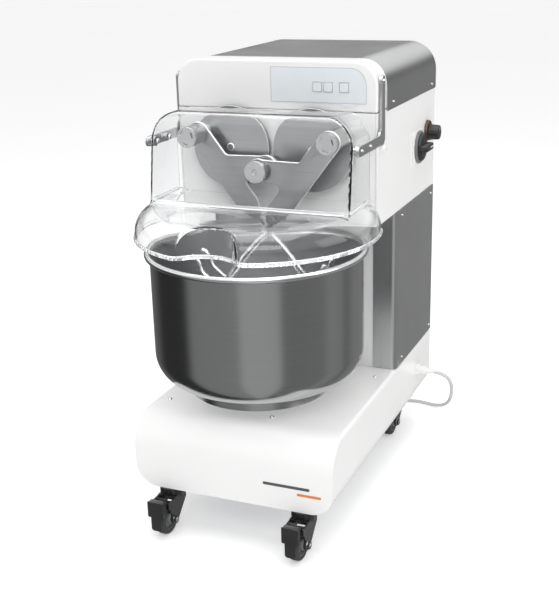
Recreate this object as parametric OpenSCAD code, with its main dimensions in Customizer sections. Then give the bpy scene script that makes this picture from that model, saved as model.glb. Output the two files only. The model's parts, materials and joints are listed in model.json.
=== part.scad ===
/* [Body] */
// Width of the machine body
body_w = 360; // [356:1:364]
// Depth of the base, front to back
base_d = 584; // [580:1:590]
// Height of the underside of the base above the floor
base_z = 80; // [80:1:80]
// Height of the top of the base
base_top = 206; // [200:1:208]
// Height of the underside of the head
head_z = 507; // [505:1:510]
// Height of the top of the head
head_top = 778; // [774:1:784]
/* [Bowl] */
// Outside radius of the bowl wall
bowl_r = 177.5; // [174:0.5:178]
// Distance of the bowl axis behind the base front
bowl_y = 134; // [132:1:136]
/* [Mechanism] */
// Radius of each crank disc
disc_r = 69.8; // [66:0.2:70]
// Half the distance between the two crank shafts
crank_a = 73.7; // [73.7:0.1:75]
// Crank radius, shaft to crank pin
crank_r = 55.6; // [54:0.1:56]
// Angle of the crank pin above the horizontal at rest
crank_phi = 26.4; // [20:0.1:30]
// Distance from crank pin to the floating hub pin
link_l = 133.6; // [133:0.1:135]
// Height of the crank shafts
crank_z = 634.3; // [634:0.1:636]
/* [Casters] */
// Radius of a caster wheel
wheel_r = 28; // [26:0.5:28]
// Trail, swivel axis to axle
trail = 25; // [22:1:26]
/* [Hidden] */
$fn = 64;
hw = body_w/2;
mid_y = 260.5;           // origin sits under the middle of the body and guard
head_y = 225;            // front face of the head
cap_y = 275;             // seam between front cap and top cover
col_y = 344;             // front face of the column
cap_z = 697;             // lower edge of the front cap
pin_x = crank_a + crank_r*cos(crank_phi);
pin_z = crank_z + crank_r*sin(crank_phi);
hub_z = pin_z - sqrt(link_l*link_l - pin_x*pin_x);
leg_a = 52.6;            // slope of the arm legs
steel = [0.62, 0.63, 0.64];
white = [0.93, 0.93, 0.92];
lip_y = 143.5;
lip_z = 505;
dome_z = 556;
cx = 122;                // caster stem position, left and right
cyf = 17;
cyr = 521;
cord_d = 7;
// route of the mains lead from the gland to the coil
TAIL = [[48,651.5,17.6],[36,651.5,17.2],[20,652,15.5],[8,652,14.2],[2.1,652,14]];
ROUTE = [[205,488,152],[213,489,151],[222,493,148],[230,501,142],[235,513,133],[237,527,121],[237,542,107],[235,558,91],[231,574,74],[226,590,57],[219,605,41],[210,620,27],[199,634,16],[186,646,8],[172,654,4.2],[156,659,3.6],[139,662,3.6],[122,661,3.6],[105,657,3.6],[90,654.5,3.6]];
coil_c = [70, 693];
coil_m = 38.5;

module place() { translate([0, -mid_y, 0]) children(); }
module xz(y0, y1) { translate([0, y1, 0]) rotate([90, 0, 0]) linear_extrude(y1 - y0) children(); }
module yz(x0, x1) { translate([x0, 0, 0]) rotate([90, 0, 90]) linear_extrude(x1 - x0) children(); }
module xcyl(x0, x1, y, z, r) { translate([x0, y, z]) rotate([0, 90, 0]) cylinder(h = x1 - x0, r = r); }
module ycyl(y0, y1, x, z, r) { translate([x, y1, z]) rotate([90, 0, 0]) cylinder(h = y1 - y0, r = r); }
module box(a, b) { translate(a) cube([b[0]-a[0], b[1]-a[1], b[2]-a[2]]); }
// rectangle with one radius on its lower corners and another on its upper corners
module rrect(x0, x1, z0, z1, rb, rt) {
  translate([x0 + rb, z0]) square([x1 - x0 - 2*rb, (z1 - z0)/2]);
  translate([x0 + rt, z0 + (z1 - z0)/2 - 1]) square([x1 - x0 - 2*rt, (z1 - z0)/2 + 1]);
  translate([x0, z0 + rb]) square([x1 - x0, z1 - z0 - rb - rt]);
  for (x = [x0 + rb, x1 - rb]) translate([x, z0 + rb]) circle(r = rb);
  for (x = [x0 + rt, x1 - rt]) intersection() { translate([x, z1 - rt]) circle(r = rt, $fn = 96); translate([x0, z1 - rt - 1]) square([x1 - x0, rt + 1]); }
}
// a straight slot-shaped bar between two points
module bar2(a, b, w) {
  d = [b[0]-a[0], b[1]-a[1]]; l = norm(d);
  translate(a) rotate(atan2(d[1], d[0])) { translate([0, -w/2]) square([l, w]); circle(d = w); translate([l, 0]) circle(d = w); }
}
module rod(a, b, r) {
  d = b - a; l = norm(d);
  translate(a) rotate([0, acos(d[2]/l), atan2(d[1], d[0])]) cylinder(h = l, r = r, $fn = 20);
  translate(b) sphere(r = r, $fn = 20);
}

// ---- body -------------------------------------------------------------
module base_front_profile(i) {
  translate([58, base_z + i]) square([base_d - 58 - i, base_top - base_z - 2*i]);
  translate([i, base_z + i]) square([70, base_top - base_z - 58 - i]);
  intersection() { translate([58, base_top - 58]) circle(r = 58 - i, $fn = 128); translate([0, base_top - 60]) square([60, 62]); }
}
module base_shell() {
  color(white) difference() {
    intersection() {
      xz(-1, base_d + 1) rrect(-hw, hw, base_z, base_top, 40, 6);
      yz(-hw - 1, hw + 1) base_front_profile(0);
    }
    intersection() {
      xz(-1, base_d + 1) rrect(-hw + 2.5, hw - 2.5, base_z + 2.5, base_top - 2.5, 37.5, 3.5);
      yz(-hw - 1, hw + 1) base_front_profile(2.5);
    }
    box([-138, 8, base_z - 5], [138, base_d - 8, base_z + 12]);
    translate([0, bowl_y, base_top - 10]) cylinder(h = 20, r = 33);
    box([-168, 352, base_top - 10], [168, 574, base_top + 5]);
    xcyl(hw - 10, hw + 5, 488, 152, 6.2);
  }
}
module base_floor() {
  color("dimgray") difference() {
    box([-137.6, 8.4, base_z], [137.6, base_d - 8.4, base_z + 4]);
    for (x = [-cx, cx], y = [cyf, cyr]) translate([x, y, base_z - 1]) cylinder(h = 8, r = 5);
  }
}
module column_shell() {
  color(white) difference() {
    translate([0, 0, base_top]) linear_extrude(head_z - 0.3 - base_top) {
      translate([-178, col_y + 8]) square([356, base_d - col_y - 8]);
      translate([-170, col_y]) square([340, 20]);
      for (x = [-170, 170]) translate([x, col_y + 8]) circle(r = 8);
    }
    box([-175.5, col_y + 2.5, base_top - 1], [175.5, base_d + 1, head_z + 2]);
  }
}
module back_panel() {
  color(white) difference() {
    box([-175.2, base_d - 2.5, base_top + 0.4], [175.2, base_d, 687]);
    for (i = [0:9]) box([-60, base_d - 5, 300 + i*14], [60, base_d + 5, 305 + i*14]);
  }
}
module head_casing() {
  color(white) difference() {
    union() {
      box([-hw, head_y, head_z], [hw, base_d, cap_z - 0.8]);
      box([-hw, cap_y + 6, cap_z - 2], [hw, base_d, 720]);
    }
    box([-hw + 2.5, head_y - 1, head_z + 2.5], [hw - 2.5, base_d + 1, 800]);
    box([-hw + 2.5, col_y + 3, head_z - 2], [hw - 2.5, base_d + 1, head_z + 4]);
    box([-hw - 1, base_d - 1.7, 689.7], [hw + 1, base_d + 1, 730]);
    for (s = [-1, 1]) xcyl(s*hw - 6, s*hw + 6, 240, 747, 3);
  }
}
module head_front_plate() {
  color(white) difference() {
    box([-177.2, head_y + 0.3, head_z + 2.8], [177.2, head_y + 3.3, cap_z - 1]);
    for (s = [-1, 1]) ycyl(head_y - 2, head_y + 6, s*crank_a, crank_z, 19);
  }
}
module front_cap() {
  color(white) difference() {
    xz(head_y, cap_y - 0.3) rrect(-hw, hw, cap_z, head_top, 3, 50);
    xz(head_y + 2.5, cap_y + 3) rrect(-hw + 2.5, hw - 2.5, cap_z + 2.5, head_top - 2.5, 1, 47.5);
    box([-hw + 2.5, head_y + 12, cap_z - 1], [hw - 2.5, cap_y + 3, cap_z + 4]);
    for (x = key_x) box([x - 8.4, head_y - 2, 728.2], [x + 8.4, head_y + 5, 745]);
    for (s = [-1, 1]) xcyl(s*hw - 6, s*hw + 6, 240, 747, 4.2);
  }
}
module top_cover() {
  color(steel) difference() {
    xz(cap_y, base_d) rrect(-hw - 1.5, hw + 1.5, 690, head_top + 1, 6, 51.5);
    xz(cap_y - 2, base_d - 1.5) rrect(-hw - 0.2, hw + 0.2, 680, head_top - 0.5, 4, 50.2);
    box([-hw - 0.2, cap_y - 2, 680], [hw + 0.2, base_d - 1.5, 700]);
    difference() { box([-hw - 4, cap_y - 1, 688], [hw + 4, cap_y + 8, 698]); xcyl(-hw - 5, hw + 5, cap_y + 8, 698, 8); }
  }
}
module side_cover(s) {
  color(steel) mirror([s < 0 ? 1 : 0, 0, 0]) difference() {
    translate([0, 0, base_top + 0.4]) linear_extrude(head_z - base_top - 1.2) {
      difference() {
        union() {
          translate([136, col_y - 2]) square([34.4, 20]);
          translate([150, col_y + 8]) square([30.4, base_d - col_y - 8]);
          translate([170.4, col_y + 8]) circle(r = 10);
        }
        translate([130, col_y - 0.3]) square([40.4, 30]);
        translate([130, col_y + 8]) square([48.7, base_d - col_y]);
        translate([170.4, col_y + 8]) circle(r = 8.3);
      }
    }
  }
}
module side_cover_left() { side_cover(-1); }
module side_cover_right() { side_cover(1); }
key_x = [77.4, 96.1, 123.8];
module keypad_membrane() {
  color([0.86, 0.88, 0.90]) difference() {
    xz(head_y - 0.8, head_y - 0.05) {
      translate([-5, 711]) square([167, 30]);
      translate([-5, 711]) square([135, 57]);
      translate([130, 736]) circle(r = 32);
    }
    for (x = key_x) box([x - 8.4, head_y - 3, 728.2], [x + 8.4, head_y + 3, 745]);
  }
}
module key(i) { color("gainsboro") box([key_x[i] - 8, head_y - 1.8, 728.6], [key_x[i] + 8, head_y + 4, 744.6]); }
module key_start() { key(0); }
module key_stop() { key(1); }
module key_speed() { key(2); }
module screw_x(s, y, z, x) { xcyl(s > 0 ? x : -x - 2.2, s > 0 ? x + 2.2 : -x, y, z, 4); }
module cover_screws() {
  color("silver") {
    for (s = [-1, 1]) {
      for (p = [[310, 704], [556, 702]]) screw_x(s, p[0], p[1], hw + 1.5);
      for (p = [[373, 493], [566, 491], [379, 219], [572, 217]]) screw_x(s, p[0], p[1], hw + 0.4);
    }
    for (p = [[-153.7, 85.6], [153.7, 300], [-153.7, 300], [44.8, 75.8]]) translate([p[0], p[1], base_top]) cylinder(h = 2.2, r = 4);
  }
}

// ---- drive --------------------------------------------------------------
module bearing_housings() {
  color("gray") {
    for (s = [-1, 1]) {
      difference() {
        union() { ycyl(head_y + 3.3, head_y + 9, s*crank_a, crank_z, 45); ycyl(head_y + 5, head_y + 28, s*crank_a, crank_z, 27); }
        ycyl(head_y, head_y + 40, s*crank_a, crank_z, 15.05);
      }
      difference() {
        union() { ycyl(308, 322, s*crank_a, crank_z, 27); box([s*crank_a - 30, 322, crank_z - 60], [s*crank_a + 30, 330, crank_z + 40]); }
        ycyl(300, 340, s*crank_a, crank_z, 15.05);
      }
    }
    box([-177.5, 330, crank_z - 60], [177.5, 334, crank_z - 30]);
    difference() {
      union() { translate([0, bowl_y, 150]) cylinder(h = 60, r = 32); translate([0, bowl_y, base_top]) cylinder(h = 5, r = 46); }
      translate([0, bowl_y, 140]) cylinder(h = 90, r = 20.05);
    }
  }
}
mot_x = 73.7; mot_z = 410; mot_r = 30; drv_r = 60; belt_y = 362;
module drive_motor() {
  color("slategray") {
    ycyl(400, 540, mot_x, mot_z, 62);
    ycyl(540, 566, mot_x, mot_z, 55);
    ycyl(394, 400, mot_x, mot_z, 50);
    box([mot_x - 50, 420, mot_z - 92], [mot_x + 50, 520, mot_z - 40]);
    box([mot_x - 70, 410, mot_z - 98], [mot_x + 70, 530, mot_z - 90]);
    box([-175.5, 410, mot_z - 104], [175.5, 530, mot_z - 98]);
  }
}
module motor_pulley() {
  color("dimgray") { ycyl(belt_y - 11, belt_y + 11, mot_x, mot_z, mot_r); ycyl(belt_y + 11, 393.6, mot_x, mot_z, 9); ycyl(belt_y - 13, belt_y - 11, mot_x, mot_z, mot_r + 4); }
}
module drive_belt() {
  color([0.1, 0.1, 0.1]) xz(belt_y - 8, belt_y + 8) difference() {
    hull() { translate([mot_x, mot_z]) circle(r = mot_r + 5.5, $fn = 48); translate([crank_a, crank_z]) circle(r = drv_r + 5.5, $fn = 72); }
    hull() { translate([mot_x, mot_z]) circle(r = mot_r + 0.5, $fn = 48); translate([crank_a, crank_z]) circle(r = drv_r + 0.5, $fn = 72); }
  }
}
module control_box() { color("darkseagreen") { box([-8, 234, 712], [166, 262, 758]); } color("gray") box([-150, 440, 560], [-20, 560, 680]); }
module bowl_gearmotor() { color("slategray") { translate([0, bowl_y, 84]) cylinder(h = 40, r = 60); box([-40, bowl_y + 40, 84], [40, bowl_y + 200, 150]); translate([0, bowl_y, 124]) cylinder(h = 10, r = 40); } }
// tooth outline of a spur gear, n teeth on pitch radius rp
function inv(a) = tan(a) - a*PI/180;
function gear_pts(n, rp, bl) = let (m = 2*rp/n, rb = rp*cos(20), ro = rp + 0.85*m, rr = rp - 1.1*m, half = 90/n - bl/rp*90/PI,
    rs = [for (k = [0:4]) max(rb + 0.02, rr + 0.6) + (ro - max(rb + 0.02, rr + 0.6))*k/4])
  [for (t = [0:n-1]) each concat(
    [let (a = t*360/n - half - inv(20)*180/PI) [rr*cos(a), rr*sin(a)]],
    [for (k = [0:4]) let (al = acos(rb/rs[k]), a = t*360/n - half - (inv(20) - inv(al))*180/PI) [rs[k]*cos(a), rs[k]*sin(a)]],
    [for (k = [4:-1:0]) let (al = acos(rb/rs[k]), a = t*360/n + half + (inv(20) - inv(al))*180/PI) [rs[k]*cos(a), rs[k]*sin(a)]],
    [let (a = t*360/n + half + inv(20)*180/PI) [rr*cos(a), rr*sin(a)]])];
module crank_gear(s) { translate([s*crank_a, 0, crank_z]) xz(264, 284) rotate(s > 0 ? 0 : 6) polygon(gear_pts(30, crank_a, 0.5)); }

// ---- bowl -----------------------------------------------------------------
module bowl() {
  color(steel) translate([0, bowl_y, 0]) rotate_extrude($fn = 128) {
    difference() {
      union() {
        translate([0, 259]) square([bowl_r - 52, 60]);
        translate([0, 311]) square([bowl_r, 170]);
        intersection() { translate([bowl_r - 52, 311]) circle(r = 52, $fn = 96); translate([0, 250]) square([300, 61]); }
        translate([bowl_r + 3.9, 480.8]) circle(r = 5, $fn = 32);
      }
      translate([0, 261]) square([bowl_r - 52, 60]);
      translate([0, 311]) square([bowl_r - 2, 200]);
      intersection() { translate([bowl_r - 52, 311]) circle(r = 50, $fn = 96); translate([0, 250]) square([300, 61]); }
    }
  }
}
module bowl_turntable() {
  color([0.75, 0.76, 0.77]) translate([0, bowl_y, 0]) {
    cylinder_ring(239, 259, 117, 121);
    translate([0, 0, 239]) cylinder(h = 4, r = 118);
  }
}
module cylinder_ring(z0, z1, ri, ro) { translate([0, 0, z0]) difference() { cylinder(h = z1 - z0, r = ro, $fn = 128); translate([0, 0, -1]) cylinder(h = z1 - z0 + 2, r = ri, $fn = 128); } }
module bowl_drive_shaft() { color("gray") translate([0, bowl_y, 0]) { translate([0, 0, 134.5]) cylinder(h = 104.5, r = 20); translate([0, 0, 212]) cylinder(h = 27, r = 36); } }

// ---- twin arms -------------------------------------------------------------
module crank_disc(s) {
  color(steel) difference() {
    union() { ycyl(206.3, 216.3, s*crank_a, crank_z, disc_r); ycyl(204.8, 206.3, s*crank_a, crank_z, 6); }
  }
}
module crank_disc_right() { crank_disc(1); }
module crank_disc_left() { crank_disc(-1); }
module crank_shaft_right() {
  color("gray") { ycyl(216.3, 384, crank_a, crank_z, 15); crank_gear(1); ycyl(belt_y - 11, belt_y + 11, crank_a, crank_z, drv_r); ycyl(belt_y - 13, belt_y - 11, crank_a, crank_z, drv_r + 4); }
}
module crank_shaft_left() { color("gray") { ycyl(216.3, 340, -crank_a, crank_z, 15); crank_gear(-1); } }
module crank_pin(s) {
  color(steel) difference() {
    union() { ycyl(146, 206.3, s*pin_x, pin_z, 9); ycyl(140, 148, s*pin_x, pin_z, 17.5); }
    for (k = [0:2]) translate([s*pin_x, 0, pin_z]) xz(138, 143) rotate(k*120 + 20) { translate([9.5, -4.5]) square([3, 9]); }
  }
}
module crank_pin_right() { crank_pin(1); }
module crank_pin_left() { crank_pin(-1); }
// outline of an arm plate: leg from the crank pin down into the bowl, with a branch to the hub
module arm_outline(s, hub_hole) {
  d = [-cos(leg_a), -sin(leg_a)];
  difference() {
    mirror([s < 0 ? 1 : 0, 0]) {
      bar2([pin_x, pin_z], [pin_x, pin_z] + 160*d, 38.4);
      bar2([0, hub_z - 3], [70, hub_z - 5], 38);
      translate([0, hub_z]) circle(r = 20);
      translate([62, hub_z + 8]) rotate(20) square([16, 16]);
      translate([28, hub_z - 30]) square([16, 12]);
    }
    translate([s*pin_x, pin_z]) circle(r = 9.06);
    translate([0, hub_z]) circle(r = hub_hole);
  }
}
module arm_plate_right() { color(steel) xz(150, 156) arm_outline(1, 9); }
module arm_plate_left() { color(steel) xz(182, 188) arm_outline(-1, 13); }
module sleeve(s, y0, y1) { difference() { ycyl(y0, y1, s*pin_x, pin_z, 17); ycyl(y0 - 2, y1 + 2, s*pin_x, pin_z, 9.06); } }
module arm_sleeve_right() { color(steel) { sleeve(1, 156, 205.6); sleeve(1, 148.4, 150); } }
module arm_sleeve_left() { color(steel) { sleeve(-1, 148.4, 182); sleeve(-1, 188, 205.6); } }
leg_d = [-cos(leg_a), 0, -sin(leg_a)];
function leg(t, y) = [pin_x, y, pin_z] + t*leg_d;
function quad(a, b, c, t) = (1-t)*(1-t)*a + 2*t*(1-t)*b + t*t*c;
// a bar that bends softly at each inner point of its path
function soft_path(p, e) = concat([p[0]], [for (i = [1:len(p)-2]) let (u = unit(p[i-1]-p[i]), w = unit(p[i+1]-p[i])) each [for (k = [0:4]) quad(p[i]+e*u, p[i], p[i]+e*w, k/4)]], [p[len(p)-1]]);
module cross_rod(p, l) { translate(p) rotate([-90, 0, 0]) cylinder(h = l, r = 6); }
module fork_right() {
  color(steel) {
    sweep([leg(156, 161.5), leg(180, 161.5), leg(240, 156), leg(317, 148)], 6, 14);
    cross_rod(leg(316, 124), 44);
    for (y = [124, 166]) sweep(soft_path([leg(316, y), [-100, y, leg(316, y)[2] + 26], [-106, y, leg(316, y)[2] + 48], [-118, y, leg(316, y)[2] + 52]], 7), 4.5, 12);
    sweep([leg(316, 146), [-28, 146, 372]], 4.5, 12);
  }
}
module fork_left() {
  color(steel) mirror([1, 0, 0]) {
    sweep([leg(156, 193.5), leg(180, 193.5), leg(240, 195.5), leg(317, 198)], 6, 14);
    cross_rod(leg(316, 184), 40);
    for (y = [184, 222]) sweep(soft_path([leg(316, y), [-96, y, leg(316, y)[2] + 22], [-102, y, leg(316, y)[2] + 40]], 7), 4.5, 12);
    sweep([leg(316, 204), [-28, 204, 372]], 4.5, 12);
  }
}
module hub_pin() {
  color(steel) { ycyl(144, 198, 0, hub_z, 9); difference() { ycyl(136, 144, 0, hub_z, 18.5); ycyl(134, 138, 0, hub_z, 4); } ycyl(144, 150, 0, hub_z, 16); ycyl(156, 180, 0, hub_z, 15); ycyl(190, 198, 0, hub_z, 17.5); }
}

// ---- guard ---------------------------------------------------------------
module dome_profile(i) {
  square_at(0, lip_z - (i > 0 ? 6 : 0), 165, dome_z - lip_z - i + (i > 0 ? 6 : 0));
  square_at(0, lip_z - (i > 0 ? 6 : 0), 203.5 - i, 12.5 + (i > 0 ? 6 : 0));
  intersection() { translate([165, lip_z + 12.5]) circle(r = 38.5 - i, $fn = 96); square_at(160, lip_z + 10, 60, 60); }
}
module square_at(x, y, w, h) { translate([x, y]) square([w, h]); }
module guard_shell() {
  color([0.85, 0.9, 0.92, 0.35]) difference() {
    union() {
      difference() {
        union() {
          translate([0, lip_y, 0]) rotate_extrude($fn = 128) { dome_profile(0); square_at(0, lip_z, 206.5, 3.5); }
          box([-190, 150, lip_z + 1], [190, 214, lip_z + 3]);
        }
        translate([0, -83, lip_z - 10]) cylinder(h = 80, r = 58);
        box([-300, 214.5, 400], [300, 500, 800]);
      }
      intersection() {
        yz(-177, 177) polygon([[95, 530], [116.5, 684], [119.5, 697], [128, 705], [204, 701], [204, 530]]);
        xz(0, 400) rrect(-176, 176, 520, 705, 5, 48);
      }
    }
    difference() {
      translate([0, lip_y, 0]) rotate_extrude($fn = 128) dome_profile(4);
      translate([0, -83, lip_z - 20]) cylinder(h = 120, r = 62);
      box([-300, -100, dome_z - 4], [300, 400, 800]);
    }
    intersection() {
      yz(-177, 177) polygon([[81, 400], [99, 530], [120.5, 684], [123, 695], [129, 701], [260, 694], [260, 400]]);
      xz(-50, 400) rrect(-172, 172, 400, 701, 2, 44);
    }
    for (s = [-1, 1], y = [130, 172]) xcyl(s*176 - 8, s*176 + 8, y, 653, 3);
  }
}
module guard_arm(s) {
  color(steel) difference() {
    yz(s > 0 ? 182 : -186, s > 0 ? 186 : -182) {
      bar2([240, 747], [240, 664], 18);
      bar2([121, 653.5], [232, 653.5], 17);
      translate([225, 650]) square([24, 20]);
      translate([235, 657]) circle(r = 14);
    }
    xcyl(s*184 - 10, s*184 + 10, 240, 747, 4.08);
    for (y = [130, 172]) xcyl(s*184 - 10, s*184 + 10, y, 653, 3);
  }
}
module guard_arm_right() { guard_arm(1); }
module guard_arm_left() { guard_arm(-1); }
module guard_screws() {
  color("silver") for (s = [-1, 1], y = [130, 172]) {
    xcyl(s > 0 ? 176 : -182, s > 0 ? 182 : -176, y, 653, 7);
    xcyl(s > 0 ? 166 : -190, s > 0 ? 190 : -166, y, 653, 2.95);
    xcyl(s > 0 ? 186 : -189, s > 0 ? 189 : -186, y, 653, 5.5);
    xcyl(s > 0 ? 167 : -171, s > 0 ? 171 : -167, y, 653, 6);
  }
}
module guard_pivots_and_stops() {
  color("silver") for (s = [-1, 1]) {
    xcyl(s > 0 ? 170 : -187, s > 0 ? 187 : -170, 240, 747, 4);
    xcyl(s > 0 ? 180 : -181.6, s > 0 ? 181.6 : -180, 240, 747, 8);
    xcyl(s > 0 ? 186.4 : -190, s > 0 ? 190 : -186.4, 240, 747, 7.5);
  }
  color("whitesmoke") for (s = [-1, 1]) xcyl(s > 0 ? 180 : -190, s > 0 ? 190 : -180, 243, 636.4, 7.7);
}

// ---- controls ----------------------------------------------------------------
module switch_plates() {
  color("whitesmoke") yz(hw, hw + 3) rrect(434, 498, 566.5, 630.5, 5, 5);
  color("gray") xcyl(hw + 3, hw + 8, 466, 600, 30);
  color([0.15, 0.15, 0.15]) xcyl(hw, hw + 6, 530, 620, 19);
}
module main_switch_knob() {
  color([0.1, 0.1, 0.1]) difference() { xcyl(hw + 8.4, hw + 25, 466, 600, 25); box([hw + 14, 435, 606], [hw + 26, 497, 630]); box([hw + 14, 435, 570], [hw + 26, 497, 594]); }
}
module speed_knob() { color([0.1, 0.1, 0.1]) xcyl(hw + 6.4, hw + 25.5, 530, 617, 15); }

// ---- casters --------------------------------------------------------------------
module caster_heads() {
  color([0.2, 0.2, 0.2]) for (x = [-cx, cx], y = [cyf, cyr]) translate([x, y, 0]) {
    difference() { translate([0, 0, 67.6]) cylinder(h = base_z - 67.8, r = 20.5); translate([0, 0, 60]) cylinder(h = 16, r = 6.05); }
    translate([0, 0, 77]) cylinder(h = 20, r = 5);
    translate([0, 0, 84]) cylinder(h = 8, r = 9, $fn = 6);
  }
}
module caster_fork(x, y, ped) {
  color([0.1, 0.1, 0.1]) translate([x, y, 0]) {
    difference() {
      union() {
        yz(-17, 17) difference() {
          union() {
            translate([-20, 60]) square([38, 7]);
            polygon([[-20, 62], [18, 62], [18, 52], [-16, 20], [-25, 18], [-33, 22], [-35, 30], [-34, 40], [-43, 58], [-43, 66], [-20, 67]]);
          }
        }
      }
      box([-14.4, -60, 0], [14.4, 40, 61]);
      box([-30, -60, 60], [30, -20.5, 80]);
      if (!ped) box([-30, -60, 45], [30, -35, 80]);
    }
    for (s = [-1, 1]) yz(s > 0 ? 14.4 : -17, s > 0 ? 17 : -14.4) polygon([[-44, 56], [-44, 66], [-20, 66], [-20, 50], [-34, 46]]);
    translate([0, 0, 61]) cylinder(h = 6, r = 19);
    translate([0, 0, 62]) cylinder(h = 13, r = 6);
    xcyl(-18, 18, -trail, wheel_r, 4);
    for (s = [-1, 1]) xcyl(s > 0 ? 17 : -21, s > 0 ? 21 : -17, -trail, wheel_r, 6.5);
    if (ped) xcyl(-15, 15, -38, 60.5, 2);
  }
}
module caster_fork_fr() { caster_fork(cx, cyf, true); }
module caster_fork_fl() { caster_fork(-cx, cyf, true); }
module caster_fork_rr() { caster_fork(cx, cyr, false); }
module caster_fork_rl() { caster_fork(-cx, cyr, false); }
module caster_wheel(x, y) {
  color([0.25, 0.25, 0.25]) translate([x, y - trail, wheel_r]) rotate([0, 90, 0]) rotate_extrude($fn = 96) difference() {
    union() {
      translate([4.06, -12]) square([6, 24]);
      translate([6, -3]) square([12, 6]);
      translate([16, -9]) square([wheel_r - 19, 18]);
      translate([wheel_r - 4, -7]) square([4, 14]);
      for (v = [-6, 6]) translate([wheel_r - 3.01, v]) circle(r = 3, $fn = 24);
    }
  }
}
module caster_wheel_fr() { caster_wheel(cx, cyf); }
module caster_wheel_fl() { caster_wheel(-cx, cyf); }
module caster_wheel_rr() { caster_wheel(cx, cyr); }
module caster_wheel_rl() { caster_wheel(-cx, cyr); }
module brake_pedal(x) {
  color([0.12, 0.12, 0.12]) translate([x, cyf, 0]) difference() {
    yz(-13.4, 13.4) polygon([[-32, 57], [-32, 65], [-40, 67], [-52, 75], [-62, 75], [-62, 72], [-60, 64], [-60, 40], [-62, 20], [-58.5, 20], [-56.5, 40], [-56.5, 60], [-44, 57]]);
    xcyl(-20, 20, -38, 60.5, 2.06);
  }
}
module brake_pedal_right() { brake_pedal(cx); }
module brake_pedal_left() { brake_pedal(-cx); }

// ---- mains lead -------------------------------------------------------------------
module cable_gland() {
  color("whitesmoke") difference() {
    union() {
      translate([hw, 488, 152]) rotate([0, 90, 0]) cylinder(h = 8, r = 12, $fn = 6);
      xcyl(hw - 8, hw + 10, 488, 152, 6);
      xcyl(hw + 8, hw + 16, 488, 152, 9);
      translate([hw + 16, 488, 152]) rotate([0, 90, 0]) cylinder(h = 9, r1 = 9, r2 = 5);
    }
    xcyl(hw - 12, hw + 4, 488, 152, 3.6);
  }
}
function unit(v) = v/norm(v);
function tang(p, i) = unit(i == 0 ? p[1] - p[0] : i == len(p) - 1 ? p[i] - p[i-1] : p[i+1] - p[i-1]);
module sweep(p, r, n) {
  pts = [for (i = [0:len(p)-1]) let (t = tang(p, i), a = unit(cross(t, [0.01, 0.02, 1])), b = cross(a, t)) for (k = [0:n-1]) p[i] + r*cos(360*k/n)*a + r*sin(360*k/n)*b];
  f = concat([[for (k = [0:n-1]) n - 1 - k]], [for (i = [0:len(p)-2], k = [0:n-1]) [i*n + k, i*n + (k+1)%n, (i+1)*n + (k+1)%n, (i+1)*n + k]], [[for (k = [0:n-1]) (len(p)-1)*n + k]]);
  polyhedron(points = pts, faces = f, convexity = 6);
}
module mains_cord() { color([0.8, 0.8, 0.8]) { sweep(ROUTE, cord_d/2, 10); sweep(TAIL, cord_d/2, 10); } }
module cord_coil() { color([0.8, 0.8, 0.8]) translate([coil_c[0], coil_c[1], 0.1]) rotate_extrude() translate([coil_m - 7, 0]) square([14, 21]); }
module mains_plug() {
  color([0.85, 0.85, 0.85]) translate([-20, 652, 0]) {
    difference() { translate([-45, -19, 0.1]) cube([45, 38, 28]); }
    for (s = [-9.5, 9.5]) translate([-45, s, 14]) rotate([0, -90, 0]) cylinder(h = 19, r = 2.4);
    translate([0, 0, 14]) rotate([0, 90, 0]) cylinder(h = 22, r1 = 8, r2 = 4.2);
  }
}

// --- draw ---
place() base_shell();
place() base_floor();
place() column_shell();
place() back_panel();
place() head_casing();
place() head_front_plate();
place() front_cap();
place() top_cover();
place() side_cover_left();
place() side_cover_right();
place() keypad_membrane();
place() key_start();
place() key_stop();
place() key_speed();
place() cover_screws();
place() bearing_housings();
place() drive_motor();
place() motor_pulley();
place() drive_belt();
place() control_box();
place() bowl_gearmotor();
place() bowl_turntable();
place() bowl_drive_shaft();
place() bowl();
place() crank_disc_right();
place() crank_disc_left();
place() crank_shaft_right();
place() crank_shaft_left();
place() crank_pin_right();
place() crank_pin_left();
place() arm_plate_right();
place() arm_plate_left();
place() arm_sleeve_right();
place() arm_sleeve_left();
place() fork_right();
place() fork_left();
place() hub_pin();
place() guard_shell();
place() guard_arm_right();
place() guard_arm_left();
place() guard_screws();
place() guard_pivots_and_stops();
place() switch_plates();
place() main_switch_knob();
place() speed_knob();
place() caster_heads();
place() caster_fork_fr();
place() caster_fork_fl();
place() caster_fork_rr();
place() caster_fork_rl();
place() caster_wheel_fr();
place() caster_wheel_fl();
place() caster_wheel_rr();
place() caster_wheel_rl();
place() brake_pedal_right();
place() brake_pedal_left();
place() cable_gland();
place() mains_cord();
place() cord_coil();
place() mains_plug();
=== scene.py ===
import json
import math
import bpy
import bmesh
from mathutils import Vector, Matrix

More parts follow.
